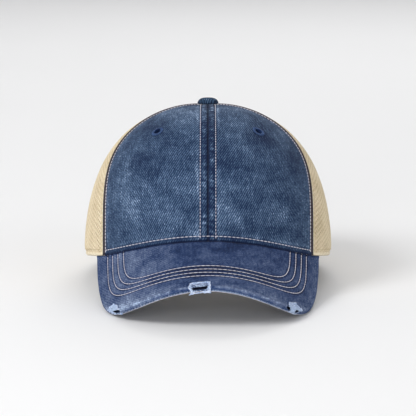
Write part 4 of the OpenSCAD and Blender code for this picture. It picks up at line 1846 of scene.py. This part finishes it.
@dataclass(frozen=True)
class FrayedSpot:
    """A place where the visor's edge is rubbed through: the outlines of its bare cloth and of its holes, each
    corner given by its distance across and its distance in from the edge, in millimetres."""

    bare: Outline
    holes: tuple[Outline, ...]
    seed: int
    shade: float = 0.2

    def near(self, x: float, edge: float) -> bool:
        """Whether a place may lie in this spot."""
        across = [c[0] for c in self.bare]
        return min(across) - 3 < x < max(across) + 3 and -4 < edge < 9

    def clear(self, x: float, edge: float) -> float:
        """Distance of a place from the holes, below 0 inside one."""
        return -max(inset(hole, x, edge) for hole in self.holes)


@dataclass
class Visor(Maker):
    """Curved visor: a board between two twill covers, with four rows of stitches and a frayed edge."""

    cols: int = 300
    rows: int = 76
    roll_rows: int = 14
    roll_deg: float = 88.0
    cover_t: float = 0.7
    fray_cells: float = 3.0
    last_start: float = 0.985
    row_square: float = 6.1
    row_shift: float = -0.0117
    row_off: float = 0.22
    row_shapes: tuple[tuple[float, float, float], ...] = tuple(
        (0.827 - 0.0578 * i, 91.9 - 4.68 * i, 0.23 - 0.034 * i) for i in range(4)
    )  # half width, reach and bow of each row of stitches, from the edge in
    row_thread: Stitch = Stitch(length=3.3, gap=-0.15, width=0.62)
    edge_thread: Stitch = Stitch(length=3.3, gap=0.1, width=0.5, lift=0.0)
    lip: float = 1.7
    swell: float = 0.35
    swell_in: float = 2.2
    swell_w: float = 1.6
    frays: tuple[FrayedSpot, ...] = (
        FrayedSpot(
            ((-12, 6.2), (-10.3, 7), (1.2, 7.6), (1.4, -1.9), (-3, -1.7), (-6.3, -1.9), (-12, -2.3),
             (-10.6, -0.8), (-12.2, 1)),
            (((-11.1, 1.1), (-7.4, 1.7), (-3.9, 2.0), (0.8, 3.2), (-0.6, 0.5), (-4.0, -1.5), (-8.2, -1.2)),),
            3, 0.7,
        ),
        FrayedSpot(
            ((-64.2, 5.9), (-66.5, 1.4), (-63.3, 0), (-58, -0.9), (-58.5, 1.8), (-60.3, 2.8), (-61.3, 4.8)),
            (((-63.2, 1.2), (-60.2, 1.9), (-57.5, 1.0), (-58.5, -0.1), (-60.8, -0.4)),), 7,
        ),
        FrayedSpot(
            ((55.2, 6.2), (59.4, 7), (61.8, 1.7), (58, -0.8), (54.2, -0.6), (53.6, 3)),
            (((51.4, 0.7), (52.5, 3.2), (54.6, 2.3), (53.7, -0.3)),
             ((57.1, 0.2), (58.6, 2.0), (60.4, 1.1), (58.8, -0.4))),
            11,
        ),
    )

    def __post_init__(self) -> None:
        """Makes the visor's form."""
        self.form = VisorForm(self.crown)
        self.ends: dict[float, float] = {}
        self.last = self.form.last_ray(self.last_start)
        self.lip_k = 1 - self.lip / self.form.half_w
        self.rays = self.spread()

    def end(self, t: float) -> float:
        """Distance across at which a ray meets the outline, kept once it is worked out."""
        if t not in self.ends:
            self.ends[t] = self.form.point(*self.form.ray(t, 1.0)).x
        return self.ends[t]

    def spread(self, tries: int = 1500) -> list[float]:
        """Spreads the rays evenly along the edge, and closer at the frayed spots.

        Args:
            tries: Number of rays of each kind that the edge is measured with, on one half.

        Returns:
            The angles of the rays.
        """
        form = self.form
        half = [math.degrees(math.asin((i / tries) ** (form.square / 2))) for i in range(tries)]
        half = sorted(t for t in half + [self.last * i / tries for i in range(tries + 1)] if t <= self.last)
        turns = [-t for t in reversed(half[1:])] + half
        points = [form.point(*form.ray(t, 1.0)) for t in turns]
        steps = []
        for a, b in zip(points, points[1:]):
            close = any(s.near((a.x + b.x) / 2, 0.0) for s in self.frays)
            steps.append((b - a).length * (self.fray_cells if close else 1.0))
        lengths, rays = list(itertools.accumulate(steps, initial=0.0)), []
        for i in range(self.cols + 1):
            k, f = locate(lengths, lengths[-1] * i / self.cols)
            rays.append(between(turns[k], turns[k + 1], min(1.0, f)))
        return rays

    def quilt(self, r: float, l: float) -> tuple[float, float]:
        """Form of the cloth at the rows of stitches.

        Args:
            r: Ruling of the place.
            l: Its distance from the rim.

        Returns:
            Dip at the rows, and how far the place lies between them near the visor's middle, from 0 to 1,
            which is painted as shade.
        """
        reach, square, beyond = max(0.0, l + self.form.root_reach(r)), self.row_square, []
        for across, out, bow in self.row_shapes:
            q = abs(r - self.row_shift) / across
            forward = reach / out / (1 - bow * min(q, 1.2) ** 2)
            ratio = max(0.05, (q**square + forward**square) ** (1 / square))
            beyond.append((1 - 1 / ratio) * math.hypot(self.form.half_w * r, reach))
        shade_between_rows = ease(0.5 - beyond[0] / 2) * ease(0.5 + beyond[-1] / 2)
        return sum(hump(b, 0.25, 0.9) for b in beyond), shade_between_rows * (1 - ease((abs(r) - 0.35) / 0.3))

    def worn(self, p: Vector, edge: float) -> float:
        """Wear of the cloth, with a lighter -x side and painted shade across the visor's middle.

        Args:
            p: The point on the plain surface.
            edge: Its distance from the visor's edge.

        Returns:
            The wear.
        """
        ridge = hump(edge, 1.5, 2.2) * (0.42 + 0.4 * drift(p, 8, 21) + 0.45 * drift(p, 2.2, 24))
        ridge += 0.35 * hump(edge, 5.5, 3.0) * (0.5 + drift(p, 14, 22) + 0.6 * drift(p, 3, 28))
        ridge = max(0.0, ridge) * (1 - 0.7 * ease((abs(p.x) - 64) / 9))
        # Lighter towards -x, and darker across the middle as painted shade.
        side_tone_and_shade = 0.28 * ease((-p.x - 12) / 34) * (1 - 0.5 * ease((-p.x - 62) / 12))
        side_tone_and_shade += 0.04 * ease((p.x - 50) / 25) - 0.04 * hump(p.x, 6, 30)
        return ridge + 0.12 * drift(p, 20, 23) + side_tone_and_shade

    def bare(self, p: Vector, across: float, edge: float) -> float:
        """How bare the cloth is at the frayed spots: most along their outlines, less inside them, where the
        bare yarns are darkened as painted shade.

        Args:
            p: The point on the plain surface.
            across: Distance across at which its ray meets the outline.
            edge: Its distance in from the edge.

        Returns:
            A value from 0 to 1.
        """
        for s in self.frays:
            if s.near(across, edge):
                gap = inset(s.bare, across, edge) + 0.35 * drift(p, 1.6, s.seed + 1)
                if gap > 0:
                    return 1 - s.shade * ease((gap - 0.8) / 0.5) * ease((edge + 0.3) / 0.6)
        return 0.0

    def torn(self, p: Vector, across: float, edge: float) -> float:
        """How far a place lies inside a hole of a frayed spot; its arguments are those of bare."""
        depths = [inset(hole, across, edge) for s in self.frays if s.near(across, edge) for hole in s.holes]
        return max(depths) + 0.12 * drift(p, 1.3, 3) if depths else -1.0

    def section(self, t: float, v: float) -> tuple[float, float, float, float]:
        """Section of a cover along a ray: flat from the rim, then rolled down round the edge.

        Args:
            t: The ray's angle.
            v: Share from the rim to the seam in the middle of the edge.

        Returns:
            Share of the ray, how far the cover has sunk, the distance along the cloth from where the roll
            ends the flat part, and how far the roll has turned in radians, 0 on the flat part.
        """
        form, flat_end, start = self.form, self.rows / (self.rows + self.roll_rows), self.form.ray_start(t)
        lip = max(self.lip_k, (start + 1) / 2)
        if v <= flat_end:
            k = between(start, lip, 1 - (1 - v / flat_end) ** 1.3)
            return k, 0.0, (1 - k) * form.arm(t), 0.0
        a = math.radians(self.roll_deg) * (v - flat_end) / (1 - flat_end)
        k = between(lip, 1.0, math.sin(a))
        sink = (1 - math.cos(a)) * (form.thick / 2 - 0.05)
        return k, sink, (1 - k) * form.arm(t) - 2.0 * a / math.radians(self.roll_deg), a

    def cover_spot(self, top: bool, u: float, v: float) -> Spot:
        """Spot of the top or under cover at a share across and out.

        Args:
            top: Whether it is the top cover.
            u: Share from the right corner to the left one.
            v: Share from the rim to the seam in the middle of the edge.

        Returns:
            The spot.
        """
        form, t = self.form, self.rays[round(u * self.cols)]
        k, sink, edge, a = self.section(t, v)
        out = (1 - k) * form.arm(t)
        fall = out if top else -form.thick / 2 * math.cos(a) - (0.0 if a else out)
        r, l = form.ray(t, k)
        plain = form.point(r, l)
        quilt, shade_between_rows = self.quilt(r, l)
        height = -0.34 * quilt + 0.16 * drift(plain, 16, 25) + 0.08 * drift(plain, 3.2, 26) * (0.4 + quilt)
        if top:
            height += self.swell * hump(edge, self.swell_in, self.swell_w) + 0.25 * (1 - ease(l / 1.2))
        at = form.point(r, l, height - sink if top else sink - height - form.thick)
        across = self.end(t)
        bare, hole = self.bare(plain, across, fall), self.torn(plain, across, fall)
        if not top:
            bare *= ease(-hole / 1.5)
        worn = self.worn(plain, edge) if top else 0.9 * hump(edge, -1.2, 2.4)
        # Painted shade at the rows of stitches and between them near the middle, and a painted shadow at the
        # root by the crown.
        dye = 1.05 * quilt + 0.35 * shade_between_rows + 0.8 * (1 - ease(l / 2.0))
        flat = (form.half_w * r, l + form.root_reach(r) + out - edge)
        return Spot(at, flat, between(worn, 1.6, bare), dye * (1 - bare), hole)

    def cover(self, top: bool) -> Piece:
        """Builds one cover, with its frayed holes.

        Args:
            top: Whether it is the top cover.

        Returns:
            The cover.
        """
        loom, centre = Loom(self.stance), self.form.point(0, 40, -300 if top else 300)
        rows = self.rows + self.roll_rows
        loom.weave(self.cols, rows, lambda u, v: self.cover_spot(top, u, v), centre, lambda spot: spot.hole)
        return loom.finish("twill_visor_top" if top else "twill_visor_under", self.cover_t)

    def seat(self, r: float, l: float, sunk: float, top: bool) -> tuple[Vector, Vector]:
        """Place a little below the top or under face, and the direction out of it."""
        n = self.form.normal(r, l)
        return self.form.point(r, l, -sunk if top else sunk - self.form.thick), n if top else -n

    def row_path(self, shape: tuple[float, float, float], top: bool, steps: int = 160) -> Path:
        """Path of one row of stitches.

        Args:
            shape: The row's half width, reach and bow.
            top: Whether it lies on the top cover.
            steps: Number of its steps on one half.

        Returns:
            The path.
        """
        (across, out, bow), path = shape, []
        for j in range(-steps, steps + 1):
            a = math.pi / 2 * ease(abs(j) / steps)
            q = math.copysign(math.sin(a) ** (2 / self.row_square), j)
            r = across * q + self.row_shift
            l = out * (1 - bow * q * q) * math.cos(a) ** (2 / self.row_square) - self.form.root_reach(r)
            if l >= 0.9:
                path.append(self.seat(r, l, self.row_off, top))
        return path

    def stitches(self, top: bool) -> Piece:
        """Sews the four rows on one cover, and the thread along the edge's seam.

        Args:
            top: Whether it is the top cover.

        Returns:
            The stitches.
        """
        needle, form = Needle(self.stance), self.form
        for shape in self.row_shapes:
            needle.sew(self.row_path(shape, top), self.row_thread)
        if not top:
            places = [form.ray(self.last * (j / 160 - 1), 0.998) for j in range(321)]
            needle.sew([self.seat(r, l, 0.55, top) for r, l in places], self.edge_thread)
        return needle.finish("visor_top_stitches" if top else "visor_under_stitches")

    def at_edge(self, x: float, edge: float, lift: float) -> tuple[Vector, Vector]:
        """Place near the edge of the visor, and the direction out of it.

        Args:
            x: Distance across from the middle.
            edge: Distance in from the edge; below 0 it goes down round it.
            lift: Height over the cloth.

        Returns:
            The place and the direction.
        """
        form, inner = self.form, max(0.0, edge)
        t = halved(-self.last, self.last, lambda t: form.point(*form.ray(t, 1.0)).x < x, 26)
        r, l = form.ray(t, 1 - inner / form.arm(t))
        tilt = 1 - min(1.0, inner / self.lip)
        sink = form.thick / 2 * (1 - math.sqrt(1 - tilt**2))
        swell = self.swell * hump(inner, self.swell_in, self.swell_w)
        at = form.point(r, l, swell - sink - max(0.0, -edge))
        normal = form.normal(r, l).lerp(form.ruling(r), tilt).normalized()
        return at + normal * lift, normal

    def yarn(
        self, needle: Needle, rng: random.Random, x: float, edge: float, way: tuple[float, float],
        loose: float,
    ) -> None:
        """Lays one bare yarn on the edge of the visor.

        Args:
            needle: Mesh that gets the yarn.
            rng: Source of its small differences.
            x: Its place across.
            edge: Its place in from the edge.
            way: Its direction across and in from the edge.
            loose: How far it strays from that direction.
        """
        at, up = self.at_edge(x + rng.gauss(0, 0.15), edge + rng.gauss(0, 0.15), 0.08 + 0.2 * rng.random())
        if self.stance.world(at).z < 0.5 * MM:
            return
        step = 1 / math.hypot(*way)
        near, _ = self.at_edge(x + way[0] * step, edge + way[1] * step, 0.1)
        along = (near - at).normalized()
        lean = up.cross(along) * rng.gauss(0, loose) + up * rng.gauss(0, 0.12)
        size = Vector((rng.uniform(1.2, 2.6), rng.uniform(0.24, 0.42), 0.3))
        needle.strand(at, along + lean, up, size, (5, 4))

    def fringe(self) -> Piece:
        """Builds the bare yarns along the frayed spots' outlines and the weft yarns across them."""
        needle = Needle(self.stance)
        for s in self.frays:
            rng = random.Random(s.seed)
            for (ax, ae), (bx, be) in zip(s.bare, s.bare[1:] + s.bare[:1]):
                for _ in range(int(math.hypot(bx - ax, be - ae) * 4)):
                    t = rng.random()
                    x, edge = between(ax, bx, t), between(ae, be, t)
                    if s.clear(x, edge) > 0.3:
                        self.yarn(needle, rng, x, edge, (bx - ax, be - ae), 0.25)
            xs, edges = zip(*s.bare)
            for i in range(170):
                x = rng.uniform(min(xs), max(xs))
                edge = rng.uniform(min(edges), max(edges) if i < 45 else -0.6)
                if inset(s.bare, x, edge) > 0.2 and s.clear(x, edge) > 0.4:
                    self.yarn(needle, rng, x, edge, (1, 0), 0.3)
        return needle.finish("frayed_yarns")

    def build(self) -> None:
        w = self.wardrobe
        faces = (
            (True, "visor_twill", w.visor_twill, "visor_top_cover"),
            (False, "underbill_twill", w.under_twill, "visor_under_cover"),
        )
        for top, slot, twill, node in faces:
            cover = dressed(self.cover(top), slot, twill, node)
        for top, slot, _, _ in faces:
            dressed(self.stitches(top), slot, w.thread)
        dressed(self.fringe(), "visor_twill", w.fray)


# ---- Button, eyelets and strap ----


@dataclass
class TopButton(Maker):
    """Cloth-covered button: a disc of twill gathered round a metal cap."""

    radius: float = 7.65
    height: float = 5.0
    base: float = 0.4
    lift: float = 0.15
    cloth_t: float = 0.5
    gathers: int = 12
    steps: int = 16

    def build(self) -> None:
        profile = [(0.0, self.height)]
        for i in range(1, self.steps + 1):
            a = math.radians(90 * (1 - i / self.steps))
            z = between(self.base, self.height, math.sin(a) ** 0.9)
            profile.append((self.radius * math.cos(a) ** 0.7, z))
        profile += [(self.radius - 0.15, 0.12), (self.radius - 0.9, 0.02)]
        loom, cells = Loom(self.stance), len(profile) - 1

        def spot(u: float, v: float) -> Spot:
            """Spot at a share across and along."""
            k, a = min(int(v * cells), cells - 1), math.tau * u
            r, z = (between(low, high, v * cells - k) for low, high in zip(profile[k], profile[k + 1]))
            crease = math.cos(self.gathers * a + 0.8 * math.sin(3 * a)) * ease((v - 0.72) / 0.25)
            r *= 1 - 0.018 * (1 + crease)
            at = Vector((r * math.sin(a), -r * math.cos(a), self.crown.height + self.lift + z))
            wear = 0.35 * hump(v, 0.5, 0.22) * (0.6 + drift(at, 3, 30)) + 0.1 * crease
            # Painted shade where the cloth turns under the button's edge.
            return Spot(at, (at.x, at.y), wear, 0.5 * ease((v - 0.85) / 0.15))

        loom.weave(72, cells * 2, spot, Vector((0, 0, self.crown.height)))
        bmesh.ops.remove_doubles(loom.bm, verts=loom.bm.verts[:], dist=0.02 * MM)
        cloth = loom.finish("button_cloth", self.cloth_t)
        button = dressed(cloth, "button_twill", self.wardrobe.button_twill, "button_cover")


@dataclass
class Eyelets:
    """Two air holes, each worked round with close satin stitches."""

    panels: FrontPanels
    bore_r: float = 2.25
    outer_r: float = 4.5
    back: float = -3.1
    lining_t: float = 0.25
    stitches: int = 34

    def axes(self, side: Side) -> tuple[Vector, Vector, Vector, Vector]:
        """Middle of an eyelet, two directions across it and its axis."""
        at, axis = self.panels.eyelet(side)
        across = axis.cross(Vector((0, 0, 1))).normalized()
        return at, across, axis.cross(across), axis

    def sleeve(self, side: Side) -> Piece:
        """Builds the thread that lines the hole and spreads over both faces.

        Args:
            side: Side of the cap.

        Returns:
            The lining.
        """
        at, across, along, axis = self.axes(side)
        back = self.back
        profile = [
            (4.3, 0.15), (3.9, 0.42), (3.2, 0.62), (2.62, 0.5), (2.42, 0.1), (2.4, -1.5), (2.42, back),
            (2.7, back - 0.35), (3.6, back - 0.3), (3.9, back),
        ]
        bm = turned(profile, 2 * self.stitches, 1e-4)
        for v in bm.verts:
            swell = 1 + 0.02 * math.cos(self.stitches * math.atan2(v.co.y, v.co.x))
            out = (across * v.co.x + along * v.co.y) * swell
            v.co = self.panels.stance.world(at + out + axis * v.co.z)
        bmesh.ops.recalc_face_normals(bm, faces=bm.faces[:])
        return made_object(bm, f"eyelet_lining_{side.word}", self.lining_t, 0.0)

    def satin(self) -> Piece:
        """Sews the satin stitches of both eyelets."""
        needle, start = Needle(self.panels.stance), self.bore_r + 0.15
        for side in Side:
            at, across, along, axis = self.axes(side)
            rng = random.Random(5 + side.value)
            for i in range(self.stitches):
                a = math.tau * (i + 0.2 * rng.random()) / self.stitches
                out = across * math.cos(a) + along * math.sin(a)
                reach = self.outer_r + 0.35 * rng.random()
                middle = at + out * (reach + start) / 2 + axis * 0.5
                tilt = out * (reach - start) - axis * 0.35
                needle.strand(middle, tilt, axis, Vector((reach - start, 0.62, 0.55)))
        return needle.finish("eyelet_satin")

    def build(self) -> None:
        """Builds and dresses the eyelets."""
        w = self.panels.wardrobe
        # Lining thread darkened as painted shade, satin thread lightened as a painted highlight.
        for side in Side:
            dressed(self.sleeve(side), "eyelet_thread", w.eyelet_shade_thread, f"eyelet_{side.word}")
        dressed(self.satin(), "eyelet_thread", w.eyelet_highlight_thread)


@dataclass
class SolidParts:
    """Rigid parts whose solids are shown as they are, with a real finish."""

    wardrobe: Wardrobe

    def build(self) -> None:
        """Gives each shown solid its material."""
        w = self.wardrobe
        finishes = {
            w.board: ("visor_board",), w.metal: ("button_shell", "button_washer"),
            w.snap: ("hole_strap", "hole_strap_root", "peg_strap", "peg_strap_root"),
        }
        for material, names in finishes.items():
            for name in names:
                node = frame["nodes"][name]
                node.data.materials.clear()
                node.data.materials.append(material)
                log.info("%s: %s", name, material.name)


# ---- Studio ----


@dataclass
class Studio:
    """Pale floor that curves up into a backdrop, soft lamps and the camera."""

    stance: Stance
    distance: float = 1500.0
    target_z: float = 50.0
    down_deg: float = 0.237
    aim_deg: float = 0.543
    lens: float = 182.14
    sensor: float = 36.0
    floor_colours: tuple[str, str] = ("#efefef", "#ededed")
    paint_mm: float = 333.33
    floor_r: float = 3.2
    bend_r: float = 1.0
    bend_steps: int = 12
    wall_h: float = 3.0
    aim: tuple[float, float, float] = (0, 0, 0.05)
    lamps: tuple[tuple[str, tuple[float, float, float], float, float], ...] = (
        ("key", (-1.6, -1.2, 1.7), 1.0, 36), ("front", (-0.4, -2.6, 0.55), 1.2, 22),
        ("fill", (1.7, -1.4, 0.9), 1.6, 10.5), ("back", (0.3, 1.7, 1.6), 1.4, 14),
    )  # name, place and side in metres, and power in watts
    room_colour: str = "#f4f4f6"
    room_light: float = 0.5

    def floor(self) -> None:
        """Builds the floor and the backdrop as one round sweep."""
        profile = [(0.0, 0.0), (0.6, 0.0), (1.6, 0.0), (self.floor_r, 0.0)]
        for i in range(1, self.bend_steps + 1):
            a = math.pi / 2 * i / self.bend_steps
            profile.append((self.floor_r + self.bend_r * math.sin(a), self.bend_r * (1 - math.cos(a))))
        profile.append((self.floor_r + self.bend_r, self.wall_h))
        bm = turned(profile, 72, 1e-5)
        bmesh.ops.recalc_face_normals(bm, faces=bm.faces[:])
        if sum(f.normal.z for f in bm.faces) < 0:
            bmesh.ops.reverse_faces(bm, faces=bm.faces[:])
        piece = made_object(bm, "floor")
        material, tree, shader = new_material("matt_painted_floor", Roughness=0.9, Specular_IOR_Level=0.1)
        place = add(tree, "TexCoord", out="Object")
        paint = add(tree, "TexNoise", Vector=place, Scale=per_metre(self.paint_mm), Detail=2.0)
        pale, grey = (linear(code) for code in self.floor_colours)
        tint = add(tree, "MixRGB", paint, pale, grey)
        tree.links.new(tint, shader.inputs["Base Color"])
        piece.data.materials.append(material)

    def light(self) -> None:
        """Adds the soft square lamps and the even light of the room."""
        for name, at, size, power in self.lamps:
            data = bpy.data.lights.new(name, "AREA")
            data.size, data.energy = size, power
            lamp = bpy.data.objects.new(name, data)
            lamp.location = at
            lamp.rotation_euler = (Vector(self.aim) - Vector(at)).to_track_quat("-Z", "Y").to_euler()
            bpy.context.scene.collection.objects.link(lamp)
        world = bpy.data.worlds.new("room")
        world.use_nodes = True
        background = world.node_tree.nodes["Background"]
        background.inputs[0].default_value = linear(self.room_colour)
        background.inputs[1].default_value = self.room_light
        bpy.context.scene.world = world

    def camera(self) -> None:
        """Sets the camera up in front of the cap, a little above its widest line."""
        e = math.radians(self.down_deg)
        eye = Vector((0, -self.distance * math.cos(e), self.target_z + self.distance * math.sin(e)))
        look = math.radians(self.down_deg + self.aim_deg)
        ahead = Vector((0, math.cos(look), -math.sin(look)))
        data = bpy.data.cameras.new("camera")
        data.lens, data.sensor_width = self.lens, self.sensor
        data.clip_start, data.clip_end = 0.05, 30
        camera = bpy.data.objects.new("camera", data)
        camera.location = self.stance.world(eye)
        camera.rotation_euler = self.stance.turn(ahead).to_track_quat("-Z", "Y").to_euler()
        bpy.context.scene.collection.objects.link(camera)
        bpy.context.scene.camera = camera

    def build(self) -> None:
        """Builds the studio."""
        self.camera()
        self.floor()
        self.light()
        bpy.context.scene.view_settings.view_transform = "Standard"


def main() -> None:
    """Builds the cap piece by piece and reports each."""
    logging.basicConfig(level=logging.INFO, format="%(message)s")
    stance = Stance.of(frame["record"])
    Studio(stance).build()
    crown, wardrobe = CrownForm(), Wardrobe()
    panels = FrontPanels(crown, stance, wardrobe)
    panels.build()
    MeshPanels(crown, stance, wardrobe).build()
    Lining(crown, stance, wardrobe).build()
    Visor(crown, stance, wardrobe).build()
    TopButton(crown, stance, wardrobe).build()
    Eyelets(panels).build()
    SolidParts(wardrobe).build()


if __name__ == "__main__":
    main()
